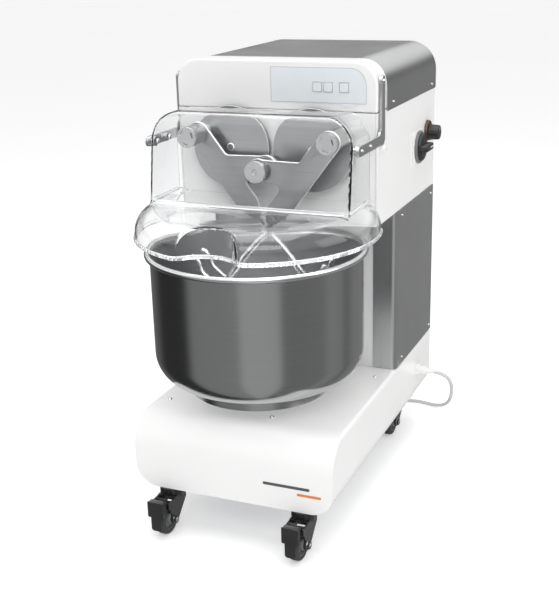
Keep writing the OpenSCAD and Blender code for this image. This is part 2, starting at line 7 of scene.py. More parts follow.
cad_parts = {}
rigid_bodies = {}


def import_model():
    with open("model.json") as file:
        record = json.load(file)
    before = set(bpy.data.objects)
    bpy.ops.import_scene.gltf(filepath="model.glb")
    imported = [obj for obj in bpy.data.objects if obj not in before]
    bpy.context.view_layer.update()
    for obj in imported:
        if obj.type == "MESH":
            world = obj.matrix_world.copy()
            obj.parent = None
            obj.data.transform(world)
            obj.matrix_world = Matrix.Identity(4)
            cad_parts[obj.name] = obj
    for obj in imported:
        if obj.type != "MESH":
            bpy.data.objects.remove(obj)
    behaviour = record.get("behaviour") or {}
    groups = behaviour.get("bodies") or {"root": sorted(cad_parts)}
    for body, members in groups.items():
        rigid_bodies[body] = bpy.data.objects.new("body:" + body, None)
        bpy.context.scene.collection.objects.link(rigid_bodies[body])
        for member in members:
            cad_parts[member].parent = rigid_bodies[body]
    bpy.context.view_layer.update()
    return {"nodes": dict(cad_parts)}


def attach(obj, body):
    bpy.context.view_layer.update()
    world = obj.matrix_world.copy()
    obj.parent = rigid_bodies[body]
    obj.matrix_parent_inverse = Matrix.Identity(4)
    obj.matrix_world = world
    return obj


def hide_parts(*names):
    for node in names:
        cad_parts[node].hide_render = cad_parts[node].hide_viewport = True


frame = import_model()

nodes = frame["nodes"]
scene = bpy.context.scene
MID = 260.5


def P(x, y, z):
    """millimetres from the front of the base to metres in the row frame"""
    return Vector((x / 1000.0, (y - MID) / 1000.0, z / 1000.0))


# ------------------------------------------------------------------ camera
def make_camera():
    yaw, pitch, roll = (math.radians(a) for a in (23.09992, 18.46072, -1.49520))
    fw = Vector((-math.sin(yaw) * math.cos(pitch), math.cos(yaw) * math.cos(pitch), -math.sin(pitch)))
    r = Vector((math.cos(yaw), math.sin(yaw), 0.0))
    u = r.cross(fw)
    r2 = math.cos(roll) * r + math.sin(roll) * u
    u2 = -math.sin(roll) * r + math.cos(roll) * u
    cd = bpy.data.cameras.new("camera")
    cam = bpy.data.objects.new("camera", cd)
    scene.collection.objects.link(cam)
    m = Matrix.Identity(4)
    for i in range(3):
        m[i][0], m[i][1], m[i][2] = r2[i], u2[i], -fw[i]
    m[0][3], m[1][3], m[2][3] = 0.70993, -1.69913, 0.96497
    cam.matrix_world = m
    cd.sensor_width = 36.0
    cd.lens = 64.601
    cd.clip_start, cd.clip_end = 0.02, 200.0
    scene.camera = cam


make_camera()
scene.view_settings.view_transform = "Standard"
scene.view_settings.look = "None"


# ------------------------------------------------------------------ materials
class Nodes:
    """small helper around a node tree"""

    def __init__(self, name):
        self.mat = bpy.data.materials.new(name)
        self.mat.use_nodes = True
        self.nt = self.mat.node_tree
        self.nt.nodes.clear()
        self.out = self.nt.nodes.new("ShaderNodeOutputMaterial")
        self.bsdf = self.nt.nodes.new("ShaderNodeBsdfPrincipled")
        self.nt.links.new(self.bsdf.outputs[0], self.out.inputs[0])
        self.tc = self.nt.nodes.new("ShaderNodeTexCoord")

    def n(self, kind, **sockets):
        nd = self.nt.nodes.new(kind)
        for k, v in sockets.items():
            nd.inputs[k].default_value = v
        return nd

    def link(self, a, b):
        self.nt.links.new(a, b)

    def mapping(self, scale, rot=(0, 0, 0)):
        mp = self.nt.nodes.new("ShaderNodeMapping")
        mp.inputs["Scale"].default_value = scale
        mp.inputs["Rotation"].default_value = rot
        self.link(self.tc.outputs["Object"], mp.inputs["Vector"])
        return mp.outputs[0]

    def noise(self, scale=(1, 1, 1), size=5.0, detail=3.0, rough=0.5, rot=(0, 0, 0), vector=None):
        t = self.nt.nodes.new("ShaderNodeTexNoise")
        t.inputs["Scale"].default_value = size
        t.inputs["Detail"].default_value = detail
        t.inputs["Roughness"].default_value = rough
        self.link(vector if vector is not None else self.mapping(scale, rot), t.inputs["Vector"])
        return t.outputs["Fac"]

    def remap(self, src, a, b, lo=0.3, hi=0.7):
        m = self.nt.nodes.new("ShaderNodeMapRange")
        m.inputs["From Min"].default_value = lo
        m.inputs["From Max"].default_value = hi
        m.inputs["To Min"].default_value = a
        m.inputs["To Max"].default_value = b
        self.link(src, m.inputs["Value"])
        return m.outputs[0]

    def mix_color(self, fac, a, b):
        m = self.nt.nodes.new("ShaderNodeMix")
        m.data_type = "RGBA"
        m.inputs[6].default_value = (*a, 1)
        m.inputs[7].default_value = (*b, 1)
        self.link(fac, m.inputs[0])
        return m.outputs[2]

    def add(self, a, b, wa=1.0, wb=1.0):
        m1 = self.nt.nodes.new("ShaderNodeMath"); m1.operation = "MULTIPLY"
        m1.inputs[1].default_value = wb
        self.link(b, m1.inputs[0])
        m2 = self.nt.nodes.new("ShaderNodeMath"); m2.operation = "MULTIPLY_ADD"
        m2.inputs[1].default_value = wa
        self.link(a, m2.inputs[0])
        self.link(m1.outputs[0], m2.inputs[2])
        return m2.outputs[0]

    def bump(self, height, strength, distance):
        b = self.nt.nodes.new("ShaderNodeBump")
        b.inputs["Strength"].default_value = strength
        b.inputs["Distance"].default_value = distance
        self.link(height, b.inputs["Height"])
        self.link(b.outputs[0], self.bsdf.inputs["Normal"])


def painted(name, col, rough=(0.30, 0.40), coat=0.2, spread=0.02, peel=0.05):
    g = Nodes(name)
    b = g.bsdf
    cloud = g.noise(size=7.0, detail=2.0)
    dark = tuple(max(0.0, c - spread) for c in col)
    g.link(g.mix_color(g.remap(cloud, 0, 1), dark, col), b.inputs["Base Color"])
    grain = g.noise(size=520.0, detail=2.0)
    g.link(g.remap(g.add(grain, cloud, 0.7, 0.3), rough[0], rough[1]), b.inputs["Roughness"])
    b.inputs["Coat Weight"].default_value = coat
    b.inputs["Coat Roughness"].default_value = 0.18
    g.bump(grain, peel, 0.0004)
    return g.mat


def brushed(name, col, rough=(0.26, 0.40), grain=(3, 3, 900), strength=0.10, spread=0.05, rot=(0, 0, 0), smudge=0.05):
    g = Nodes(name)
    b = g.bsdf
    b.inputs["Metallic"].default_value = 1.0
    lines = g.noise(scale=grain, size=1.0, detail=4.0, rough=0.6, rot=rot)
    cloud = g.noise(size=9.0, detail=3.0)
    both = g.add(lines, cloud, 0.65, 0.35)
    dark = tuple(max(0.0, c - spread) for c in col)
    light = tuple(min(1.0, c + spread) for c in col)
    g.link(g.mix_color(g.remap(both, 0, 1, 0.35, 0.65), dark, light), b.inputs["Base Color"])
    g.link(g.remap(both, rough[0], rough[1] + smudge, 0.3, 0.7), b.inputs["Roughness"])
    g.bump(lines, strength, 0.0003)
    return g.mat


def plastic(name, col, rough=(0.35, 0.5), spread=0.01, grain=900.0, strength=0.12, coat=0.0):
    g = Nodes(name)
    b = g.bsdf
    cloud = g.noise(size=30.0, detail=3.0)
    fine = g.noise(size=grain, detail=2.0)
    dark = tuple(max(0.0, c - spread) for c in col)
    light = tuple(min(1.0, c + spread) for c in col)
    g.link(g.mix_color(g.remap(cloud, 0, 1), dark, light), b.inputs["Base Color"])
    g.link(g.remap(g.add(fine, cloud, 0.5, 0.5), rough[0], rough[1]), b.inputs["Roughness"])
    b.inputs["Coat Weight"].default_value = coat
    b.inputs["Coat Roughness"].default_value = 0.15
    g.bump(fine, strength, 0.0003)
    return g.mat


def cast_metal(name, col, metallic=0.3, rough=(0.5, 0.7)):
    g = Nodes(name)
    b = g.bsdf
    b.inputs["Metallic"].default_value = metallic
    coarse = g.noise(size=60.0, detail=4.0)
    fine = g.noise(size=450.0, detail=4.0, rough=0.6)
    both = g.add(coarse, fine, 0.5, 0.5)
    g.link(g.mix_color(g.remap(both, 0, 1), tuple(c * 0.8 for c in col), tuple(min(1, c * 1.15) for c in col)), b.inputs["Base Color"])
    g.link(g.remap(both, rough[0], rough[1]), b.inputs["Roughness"])
    g.bump(both, 0.35, 0.0006)
    return g.mat


def turned(name, col, centre, rough=(0.22, 0.34), freq=900.0, spread=0.05, strength=0.08, axis=2):
    """metal turned or spun about an axis: fine rings around it"""
    g = Nodes(name)
    b = g.bsdf
    b.inputs["Metallic"].default_value = 1.0
    sep = g.nt.nodes.new("ShaderNodeSeparateXYZ")
    sub = g.nt.nodes.new("ShaderNodeVectorMath"); sub.operation = "SUBTRACT"
    sub.inputs[1].default_value = centre
    g.link(g.tc.outputs["Object"], sub.inputs[0])
    g.link(sub.outputs[0], sep.inputs[0])
    ids = [i for i in range(3) if i != axis]
    comb = g.nt.nodes.new("ShaderNodeCombineXYZ")
    g.link(sep.outputs[ids[0]], comb.inputs[0])
    g.link(sep.outputs[ids[1]], comb.inputs[1])
    ln = g.nt.nodes.new("ShaderNodeVectorMath"); ln.operation = "LENGTH"
    g.link(comb.outputs[0], ln.inputs[0])
    c2 = g.nt.nodes.new("ShaderNodeCombineXYZ")
    sc = g.nt.nodes.new("ShaderNodeMath"); sc.operation = "MULTIPLY"; sc.inputs[1].default_value = freq
    g.link(ln.outputs["Value"], sc.inputs[0])
    sz = g.nt.nodes.new("ShaderNodeMath"); sz.operation = "MULTIPLY"; sz.inputs[1].default_value = freq
    g.link(sep.outputs[axis], sz.inputs[0])
    ax = g.nt.nodes.new("ShaderNodeMath"); ax.operation = "ARCTAN2"
    g.link(sep.outputs[ids[0]], ax.inputs[0]); g.link(sep.outputs[ids[1]], ax.inputs[1])
    g.link(sc.outputs[0], c2.inputs[0]); g.link(sz.outputs[0], c2.inputs[1]); g.link(ax.outputs[0], c2.inputs[2])
    rings = g.noise(size=1.0, detail=3.0, rough=0.6, vector=c2.outputs[0])
    cloud = g.noise(size=11.0, detail=3.0)
    both = g.add(rings, cloud, 0.6, 0.4)
    g.link(g.mix_color(g.remap(both, 0, 1, 0.35, 0.65), tuple(max(0, c - spread) for c in col), tuple(min(1, c + spread) for c in col)), b.inputs["Base Color"])
    g.link(g.remap(both, rough[0], rough[1]), b.inputs["Roughness"])
    g.bump(rings, strength, 0.0002)
    return g.mat


def clear(name, col=(0.985, 0.99, 0.993), rough=0.03, ior=1.42, haze=1.0, sheen=0.0):
    g = Nodes(name)
    b = g.bsdf
    wave = g.noise(size=9.0, detail=2.0)
    fine = g.noise(size=60.0, detail=2.0)
    g.link(g.mix_color(g.remap(wave, 0, 1), tuple(c - 0.015 for c in col), col), b.inputs["Base Color"])
    b.inputs["Transmission Weight"].default_value = haze
    b.inputs["IOR"].default_value = ior
    b.inputs["Sheen Weight"].default_value = sheen
    b.inputs["Sheen Roughness"].default_value = 0.3
    g.link(g.remap(fine, rough * 0.6, rough * 1.4), b.inputs["Roughness"])
    g.bump(wave, 0.25, 0.004)
    lp = g.nt.nodes.new("ShaderNodeLightPath")
    tr = g.nt.nodes.new("ShaderNodeBsdfTransparent")
    tr.inputs[0].default_value = (0.965, 0.97, 0.972, 1)
    mx = g.nt.nodes.new("ShaderNodeMixShader")
    g.link(lp.outputs["Is Shadow Ray"], mx.inputs[0])
    g.link(b.outputs[0], mx.inputs[1])
    g.link(tr.outputs[0], mx.inputs[2])
    g.link(mx.outputs[0], g.out.inputs[0])
    return g.mat


M = {}
M["white"] = painted("white_powder_coat", (0.88, 0.88, 0.875))
M["white_in"] = painted("white_paint_inside", (0.80, 0.80, 0.79), rough=(0.45, 0.6), coat=0.0)
M["steel_top"] = brushed("brushed_cover_steel", (0.50, 0.505, 0.51), rough=(0.16, 0.21), grain=(4, 700, 700), strength=0.03, spread=0.02)
M["steel_side"] = brushed("brushed_side_steel", (0.60, 0.605, 0.61), rough=(0.26, 0.36), grain=(500, 500, 3), strength=0.03, spread=0.02)
M["steel_arm"] = brushed("brushed_arm_steel", (0.38, 0.385, 0.39), rough=(0.28, 0.40), grain=(6, 500, 500), strength=0.04, spread=0.03, rot=(0, math.radians(52), 0))
M["steel_disc"] = brushed("brushed_disc_steel", (0.42, 0.425, 0.43), rough=(0.26, 0.40), grain=(6, 500, 500), strength=0.04, spread=0.03)
M["steel_bright"] = turned("turned_bright_steel", (0.52, 0.525, 0.53), tuple(P(0, 134, 0)), rough=(0.12, 0.24), freq=600.0)
M["steel_rod"] = brushed("drawn_rod_steel", (0.74, 0.745, 0.75), rough=(0.20, 0.32), grain=(300, 300, 300), strength=0.05, spread=0.04)
M["bowl"] = turned("spun_bowl_steel", (0.46, 0.465, 0.47), tuple(P(0, 134, 0)), rough=(0.15, 0.22), freq=420.0, spread=0.012, strength=0.008)
# inside of the bowl: its own steel tone is set for how the light falls inside the bowl, which is painted light; its
# rougher finish is the surface's own
M["bowl_in"] = turned("spun_bowl_inside_steel", (0.44, 0.445, 0.45), tuple(P(0, 134, 0)), rough=(0.34, 0.48), freq=420.0, spread=0.02, strength=0.02)
M["rim"] = turned("polished_rim_steel", (0.78, 0.785, 0.79), tuple(P(0, 134, 0)), rough=(0.12, 0.2), freq=500.0, strength=0.03)
M["ring"] = turned("turned_ring_steel", (0.42, 0.425, 0.43), tuple(P(0, 134, 0)), rough=(0.18, 0.28), freq=700.0)
M["machined"] = turned("machined_shaft_steel", (0.52, 0.52, 0.53), tuple(P(0, 134, 0)), rough=(0.3, 0.4), freq=500.0)
M["cast"] = cast_metal("grey_casting", (0.30, 0.31, 0.33))
M["clear"] = clear("clear_polycarbonate")
M["bead"] = clear("clear_polycarbonate_rim", (0.97, 0.98, 0.985), rough=0.08, ior=1.5, haze=0.80, sheen=0.3)
# lighter steel put on the edge faces of plates, discs and guard arms: a painted highlight along the edges
M["edge"] = plastic("cut_steel_edge", (0.78, 0.785, 0.79), rough=(0.35, 0.5), spread=0.03, grain=600.0, strength=0.1)
M["edge"].node_tree.nodes["Principled BSDF"].inputs["Metallic"].default_value = 0.45
M["black"] = plastic("black_moulded_plastic", (0.018, 0.018, 0.019), rough=(0.30, 0.46), spread=0.006, coat=0.0)
M["black_paint"] = plastic("black_pressed_steel_paint", (0.012, 0.012, 0.013), rough=(0.14, 0.26), spread=0.004, grain=300.0, strength=0.05, coat=0.6)
M["black_matt"] = plastic("black_grained_plastic", (0.022, 0.022, 0.023), rough=(0.42, 0.6), spread=0.006, strength=0.3)
M["grey"] = plastic("grey_moulded_plastic", (0.16, 0.165, 0.17), rough=(0.35, 0.5))
M["whitep"] = plastic("white_moulded_plastic", (0.82, 0.82, 0.81), rough=(0.28, 0.4), coat=0.2)
M["membrane"] = plastic("keypad_membrane_print", (0.76, 0.80, 0.83), rough=(0.35, 0.45), spread=0.012, grain=700.0, strength=0.1)
M["line"] = plastic("grey_print", (0.36, 0.38, 0.40), rough=(0.4, 0.5))
M["tyre"] = plastic("caster_tread_rubber", (0.045, 0.045, 0.046), rough=(0.5, 0.68), spread=0.01, grain=500.0, strength=0.35)
M["belt"] = plastic("drive_belt_rubber", (0.02, 0.02, 0.02), rough=(0.6, 0.75), grain=400.0, strength=0.4)
M["cord"] = plastic("grey_pvc_sheath", (0.62, 0.62, 0.61), rough=(0.4, 0.52), spread=0.02, grain=260.0, strength=0.1)
M["screw"] = brushed("zinc_screw", (0.72, 0.725, 0.73), rough=(0.08, 0.16), grain=(400, 400, 400), strength=0.03)
M["green"] = plastic("circuit_board_box", (0.12, 0.22, 0.16), rough=(0.4, 0.55), spread=0.03)
M["dark_stripe"] = plastic("dark_grey_stripe", (0.085, 0.088, 0.09), rough=(0.35, 0.45))
M["orange"] = plastic("orange_stripe", (0.75, 0.22, 0.04), rough=(0.35, 0.45))
M["amber"] = plastic("amber_dial_print", (0.09, 0.045, 0.022), rough=(0.3, 0.4), spread=0.04, grain=240.0)
M["brass"] = turned("brass_pin", (0.78, 0.60, 0.30), tuple(P(0, 651, 14)), rough=(0.2, 0.3), freq=700.0, axis=0)


# ------------------------------------------------------------------ mesh helpers
def obj_from(name, verts, faces):
    me = bpy.data.meshes.new(name)
    me.from_pydata([tuple(v) for v in verts], [], faces)
    me.validate()
    o = bpy.data.objects.new(name, me)
    scene.collection.objects.link(o)
    return o


def fix_normals(o):
    bm = bmesh.new(); bm.from_mesh(o.data)
    bmesh.ops.recalc_face_normals(bm, faces=bm.faces)
    bm.to_mesh(o.data); bm.free()
    return o


def smooth(o, angle=35):
    for p in o.data.polygons:
        p.use_smooth = True
    o.data.set_sharp_from_angle(angle=math.radians(angle))
    return o


def dress(o, mat, body, replaces=(), angle=35, weighted=False):
    o.data.materials.clear()
    o.data.materials.append(mat)
    if o.type == "MESH":
        smooth(o, angle)
        if weighted:
            w = o.modifiers.new("weighted", "WEIGHTED_NORMAL")
            w.keep_sharp = True
    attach(o, body)
    if replaces:
        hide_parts(*replaces)
    return o


def baked(o):
    dg = bpy.context.evaluated_depsgraph_get()
    dg.update()
    me = bpy.data.meshes.new_from_object(o.evaluated_get(dg))
    o.modifiers.clear()
    o.data = me
    return o


def prism(name, pts, axis, a, b):
    """closed outline in millimetres, drawn in the plane across axis, extruded from a to b"""
    n = len(pts)

    def at(p, t):
        if axis == "y":
            return P(p[0], t, p[1])
        if axis == "x":
            return P(t, p[0], p[1])
        return P(p[0], p[1], t)
    v = [at(p, a) for p in pts] + [at(p, b) for p in pts]
    f = [list(range(n)), list(range(2 * n - 1, n - 1, -1))] + [[(i + 1) % n, i, n + i, n + (i + 1) % n] for i in range(n)]
    return fix_normals(obj_from(name, v, f))


def rounded(pts, radii, seg=8):
    """outline with a fillet at each corner"""
    out = []
    n = len(pts)
    for i in range(n):
        p0, p, p1 = Vector(pts[i - 1]), Vector(pts[i]), Vector(pts[(i + 1) % n])
        r = radii[i] if hasattr(radii, "__len__") else radii
        if r <= 0:
            out.append(tuple(p)); continue
        u, w = (p0 - p).normalized(), (p1 - p).normalized()
        half = math.acos(max(-1, min(1, u.dot(w)))) / 2
        if half > math.radians(89.5):
            out.append(tuple(p)); continue
        t = min(r / math.tan(half), 0.49 * (p0 - p).length, 0.49 * (p1 - p).length)
        r = t * math.tan(half)
        c = p + (u + w).normalized() * (r / math.sin(half))
        q0, q1 = p + u * t - c, p + w * t - c
        a0, a1 = math.atan2(q0[1], q0[0]), math.atan2(q1[1], q1[0])
        d = (a1 - a0 + math.pi) % (2 * math.pi) - math.pi
        for k in range(seg + 1):
            a = a0 + d * k / seg
            out.append((c[0] + r * math.cos(a), c[1] + r * math.sin(a)))
    return out


def arch(x0, x1, z0, z1, rb, rt, seg=16):
    return rounded([(x0, z0), (x1, z0), (x1, z1), (x0, z1)], [rb, rb, rt, rt], seg)


def circle(cx, cy, r, n=48):
    return [(cx + r * math.cos(2 * math.pi * k / n), cy + r * math.sin(2 * math.pi * k / n)) for k in range(n)]


def boolean(a, b, op):
    m = a.modifiers.new("cut", "BOOLEAN")
    m.operation, m.object, m.solver = op, b, "EXACT"
    baked(a)
    bpy.data.objects.remove(b)
    return a


def bevel(o, width_mm, seg=3, angle=35, clamp=True):
    m = o.modifiers.new("edges", "BEVEL")
    m.width, m.segments, m.limit_method = width_mm / 1000, seg, "ANGLE"
    m.angle_limit = math.radians(angle)
    m.use_clamp_overlap = clamp
    m.miter_outer = "MITER_ARC"
    return o


def lathe(name, prof, centre, axis="z", n=96, closed=False):
    """profile of (radius, height) in millimetres turned about a line"""
    v, f = [], []
    m = len(prof)
    for r, h in prof:
        for k in range(n):
            a = 2 * math.pi * k / n
            c, s = r * math.cos(a), r * math.sin(a)
            if axis == "z":
                v.append(P(centre[0] + c, centre[1] + s, h))
            elif axis == "y":
                v.append(P(centre[0] + c, h, centre[1] + s))
            else:
                v.append(P(h, centre[0] + c, centre[1] + s))
    last = m if closed else m - 1
    for i in range(last):
        j = (i + 1) % m
        for k in range(n):
            q = (k + 1) % n
            f.append([i * n + k, i * n + q, j * n + q, j * n + k])
    if not closed:
        if prof[0][0] > 1e-6:
            f.append([k for k in range(n)][::-1])
        if prof[-1][0] > 1e-6:
            f.append([(m - 1) * n + k for k in range(n)])
    o = obj_from(name, v, f)
    bm = bmesh.new(); bm.from_mesh(o.data)
    bmesh.ops.remove_doubles(bm, verts=bm.verts, dist=1e-6)
    bmesh.ops.recalc_face_normals(bm, faces=bm.faces)
    bm.to_mesh(o.data); bm.free()
    return o


def plate(name, loops, axis, a, b, edge=0.4, res=2):
    """flat plate with holes: outlines in millimetres, between a and b along axis, with small rounded edges"""
    cu = bpy.data.curves.new(name + ".c", "CURVE")
    cu.dimensions, cu.fill_mode = "2D", "BOTH"
    cu.extrude = max(1e-5, (b - a) / 2000 - edge / 1000)
    cu.bevel_depth, cu.bevel_resolution, cu.offset = edge / 1000, res, -edge / 1000
    for loop in loops:
        sp = cu.splines.new("POLY")
        sp.points.add(len(loop) - 1)
        for q, p in zip(sp.points, loop):
            q.co = (p[0] / 1000, p[1] / 1000, 0, 1)
        sp.use_cyclic_u = True
    tmp = bpy.data.objects.new(name + ".c", cu)
    scene.collection.objects.link(tmp)
    dg = bpy.context.evaluated_depsgraph_get(); dg.update()
    me = bpy.data.meshes.new_from_object(tmp.evaluated_get(dg))
    bpy.data.objects.remove(tmp)
    me.name = name
    mid = (a + b) / 2
    for v in me.vertices:
        x, y, z = (c * 1000 for c in v.co)
        v.co = P(x, mid + z, y) if axis == "y" else (P(mid + z, x, y) if axis == "x" else P(x, y, mid + z))
    o = bpy.data.objects.new(name, me)
    scene.collection.objects.link(o)
    bm = bmesh.new(); bm.from_mesh(me)
    bmesh.ops.remove_doubles(bm, verts=bm.verts, dist=2e-6)
    bmesh.ops.recalc_face_normals(bm, faces=bm.faces)
    bm.to_mesh(me); bm.free()
    return o


def soft_line(pts, cut, seg=6):
    """open path with its inner corners rounded"""
    out = [Vector(pts[0])]
    for i in range(1, len(pts) - 1):
        p0, p, p1 = Vector(pts[i - 1]), Vector(pts[i]), Vector(pts[i + 1])
        c = min(cut, 0.45 * (p0 - p).length, 0.45 * (p1 - p).length)
        a, b = p + (p0 - p).normalized() * c, p + (p1 - p).normalized() * c
        for k in range(seg + 1):
            t = k / seg
            out.append((1 - t) ** 2 * a + 2 * t * (1 - t) * p + t * t * b)
    out.append(Vector(pts[-1]))
    return out


def tube(name, pts, radius, n=20, dome=True, squash_end=0.35):
    """round bar along a path of millimetre points, radius a number or one per point, with domed ends"""
    pts = [Vector(p) for p in pts]
    rad = radius if hasattr(radius, "__len__") else [radius] * len(pts)
    t0 = (pts[1] - pts[0]).normalized()
    t1 = (pts[-1] - pts[-2]).normalized()
    rings = []
    steps = [(math.sin(a), math.cos(a)) for a in (math.radians(8), math.radians(35), math.radians(62))]
    if dome:
        for s, c in steps:
            rings.append((pts[0] - t0 * (-rad[0] * squash_end * (1 - c)) , rad[0] * s, t0))
    for i, p in enumerate(pts):
        a = pts[i] - pts[i - 1] if i else pts[1] - pts[0]
        b = pts[i + 1] - pts[i] if i < len(pts) - 1 else pts[-1] - pts[-2]
        t = (a.normalized() + b.normalized()).normalized()
        q = p
        if dome and i == 0:
            q = p + t0 * rad[0] * squash_end
        if dome and i == len(pts) - 1:
            q = p - t1 * rad[-1] * squash_end
        rings.append((q, rad[i], t))
    if dome:
        for s, c in reversed(steps):
            rings.append((pts[-1] - t1 * (rad[-1] * squash_end * (1 - c)), rad[-1] * s, t1))
    up = Vector((0.013, 0.021, 1.0))
    if abs(t0.dot(up.normalized())) > 0.95:
        up = Vector((1.0, 0.02, 0.01))
    side = t0.cross(up).normalized()
    v, f = [], []
    for q, r, t in rings:
        side = (side - t * side.dot(t)).normalized()
        w = t.cross(side)
        for k in range(n):
            a = 2 * math.pi * k / n
            v.append(P(*(q + side * (r * math.cos(a)) + w * (r * math.sin(a)))))
    m = len(rings)
    for i in range(m - 1):
        for k in range(n):
            j = (k + 1) % n
            f.append([i * n + k, i * n + j, (i + 1) * n + j, (i + 1) * n + k])
    f.append(list(range(n))[::-1]); f.append([(m - 1) * n + k for k in range(n)])
    return fix_normals(obj_from(name, v, f))


def joined(name, objs):
    """several separate solids as one piece"""
    bm = bmesh.new()
    for o in objs:
        baked(o)
        bm.from_mesh(o.data)
        bpy.data.objects.remove(o)
    me = bpy.data.meshes.new(name)
    bm.to_mesh(me); bm.free()
    o = bpy.data.objects.new(name, me)
    scene.collection.objects.link(o)
    return o


def soften(node, width=0.5, seg=2, angle=35, mat=None, slot=None, edge=None):
    """a CAD node as it is, with its sharp edges broken and a finished material"""
    o = nodes[node]
    w = o.modifiers.new("weld", "WELD"); w.merge_threshold = 1e-5
    d = o.modifiers.new("flats", "DECIMATE"); d.decimate_type = "DISSOLVE"; d.angle_limit = math.radians(0.3)
    b = o.modifiers.new("edges", "BEVEL")
    b.width, b.segments, b.limit_method, b.angle_limit = width / 1000, seg, "ANGLE", math.radians(angle)
    b.use_clamp_overlap = True
    b.harden_normals = False
    wn = o.modifiers.new("weighted", "WEIGHTED_NORMAL"); wn.keep_sharp = False
    if mat is not None:
        for i in range(max(1, len(o.material_slots))):
            if len(o.material_slots) == 0:
                o.data.materials.append(mat)
            else:
                o.material_slots[i].material = mat
    # edge: the bevel faces get the lighter edge steel, a painted highlight along the edges
    if edge is not None:
        o.data.materials.append(edge)
        b.material = len(o.material_slots) - 1
    return o


# ------------------------------------------------------------------ body
def base_piece():
    a = prism("base_cover", arch(-180, 180, 80, 206, 40, 7, 14), "y", 0, 584)
    prof = [(0, 80), (584, 80), (584, 206)]
    for k in range(25):
        t = math.pi / 2 + math.pi / 2 * k / 24
        prof.append((58 + 58 * math.cos(t), 148 + 58 * math.sin(t)))
    b = prism("tmp_profile", prof, "x", -181, 181)
    boolean(a, b, "INTERSECT")
    bevel(a, 5.0, 4, 50)
    baked(a)
    cut = prism("tmp_cut", rounded([(-138, 8), (138, 8), (138, 576), (-138, 576)], 6), "z", 70, 90)
    boolean(a, cut, "DIFFERENCE")
    for x, y, z in ((180, 488, 152),):
        hole = lathe("tmp_hole", [(6.2, 170), (6.2, 190)], (y, z), "x", 32)
        boolean(a, hole, "DIFFERENCE")
    return a


o = base_piece()
dress(o, M["white"], "frame", ["base_shell"], angle=24, weighted=True)

soften("base_floor", 0.4, 2, mat=M["cast"])
soften("column_shell", 0.8, 2, mat=M["white"])
soften("back_panel", 0.4, 2, mat=M["white"])
soften("head_casing", 0.9, 3, mat=M["white"])
soften("head_front_plate", 0.5, 2, mat=M["white"])
soften("top_cover", 0.5, 3, mat=M["steel_top"])
soften("side_cover_left", 0.4, 2, mat=M["steel_side"])
soften("side_cover_right", 0.4, 2, mat=M["steel_side"])


def cap_piece():
    a = prism("front_cap_cover", arch(-180, 180, 697, 778, 3, 50, 18), "y", 225, 274.7)
    # rounded front edge: only the front outline gets the wide bevel
    me = a.data
    at = me.attributes.new("bevel_weight_edge", "FLOAT", "EDGE")
    yf = P(0, 225, 0).y
    for e in me.edges:
        if all(abs(me.vertices[i].co.y - yf) < 1e-5 for i in e.vertices):
            at.data[e.index].value = 1.0
        else:
            at.data[e.index].value = 0.0
    m = a.modifiers.new("front", "BEVEL")
    m.width, m.segments, m.limit_method = 0.0085, 6, "WEIGHT"
    baked(a)
    inner = prism("tmp_in", arch(-177.5, 177.5, 690, 775.5, 0, 47.5, 18), "y", 236, 280)
    boolean(a, inner, "DIFFERENCE")
    for x in (77.4, 96.1, 123.8):
        c = prism("tmp_k", rounded([(x - 8.4, 728.2), (x + 8.4, 728.2), (x + 8.4, 745), (x - 8.4, 745)], 2.2, 4), "y", 220, 240)
        boolean(a, c, "DIFFERENCE")
    for s in (-1, 1):
        h = lathe("tmp_h", [(4.3, s * 174), (4.3, s * 186)], (240, 747), "x", 32)
        boolean(a, h, "DIFFERENCE")
    return a


o = cap_piece()
dress(o, M["white"], "frame", ["front_cap"], angle=24, weighted=True)

# keypad: membrane with printed outlines, three keys
soften("keypad_membrane", 0.2, 2, mat=M["membrane"])
for key, x in (("key_start", 77.4), ("key_stop", 96.1), ("key_speed", 123.8)):
    def key_loop(h, r):
        return rounded([(x - h, 736.6 - h), (x + h, 736.6 - h), (x + h, 736.6 + h), (x - h, 736.6 + h)], r, 5)
    k = plate(key + "_cap", [key_loop(7.95, 2.0)], "y", 223.25, 229.0, 0.35)
    dress(k, M["membrane"], key, [key])
    ring = plate(key + "_outline", [key_loop(7.7, 2.2), key_loop(7.05, 1.8)], "y", 223.22, 223.5, 0.04, 0)
    dress(ring, M["line"], key)
outer = rounded([(-5, 711), (162, 711), (162, 768), (-5, 768)], [1.5, 1.5, 32, 1.5], 12)
inner = rounded([(-4.4, 711.6), (161.4, 711.6), (161.4, 767.4), (-4.4, 767.4)], [1.2, 1.2, 31.4, 1.2], 12)
b = plate("keypad_border", [outer, inner], "y", 224.1, 224.3, 0.04, 0)
dress(b, M["line"], "frame")

# plain two-tone trim bars on the base front
t = plate("trim_bar_dark", [rounded([(58, 121), (140, 121), (140, 126), (58, 126)], 2.4, 5)], "y", -0.45, 0.35, 0.2, 1)
dress(t, M["dark_stripe"], "frame")
t = plate("trim_bar_orange", [rounded([(118, 110), (160, 110), (160, 114.5), (118, 114.5)], 2.1, 5)], "y", -0.45, 0.35, 0.2, 1)
dress(t, M["orange"], "frame")


# ------------------------------------------------------------------ screws
def button_head(name, axis, sign, pos, r=4.0, h=2.3):
    """domed screw head with a small socket"""
    prof = [(0.001, 1.2), (0.9, 1.2), (0.95, 2.1), (1.1, 2.26), (1.9, 2.12), (2.7, 1.75), (3.35, 1.2), (3.8, 0.55), (4.0, 0.2), (4.0, 0.0)]
    prof = [(p * r / 4.0, q * h / 2.3) for p, q in prof]
    if axis == "x":
        return lathe(name, [(p, pos[0] + sign * q) for p, q in prof], (pos[1], pos[2]), "x", 24)
    if axis == "z":
        return lathe(name, [(p, pos[2] + sign * q) for p, q in prof], (pos[0], pos[1]), "z", 24)
    return lathe(name, [(p, pos[1] + sign * q) for p, q in prof], (pos[0], pos[2]), "y", 24)


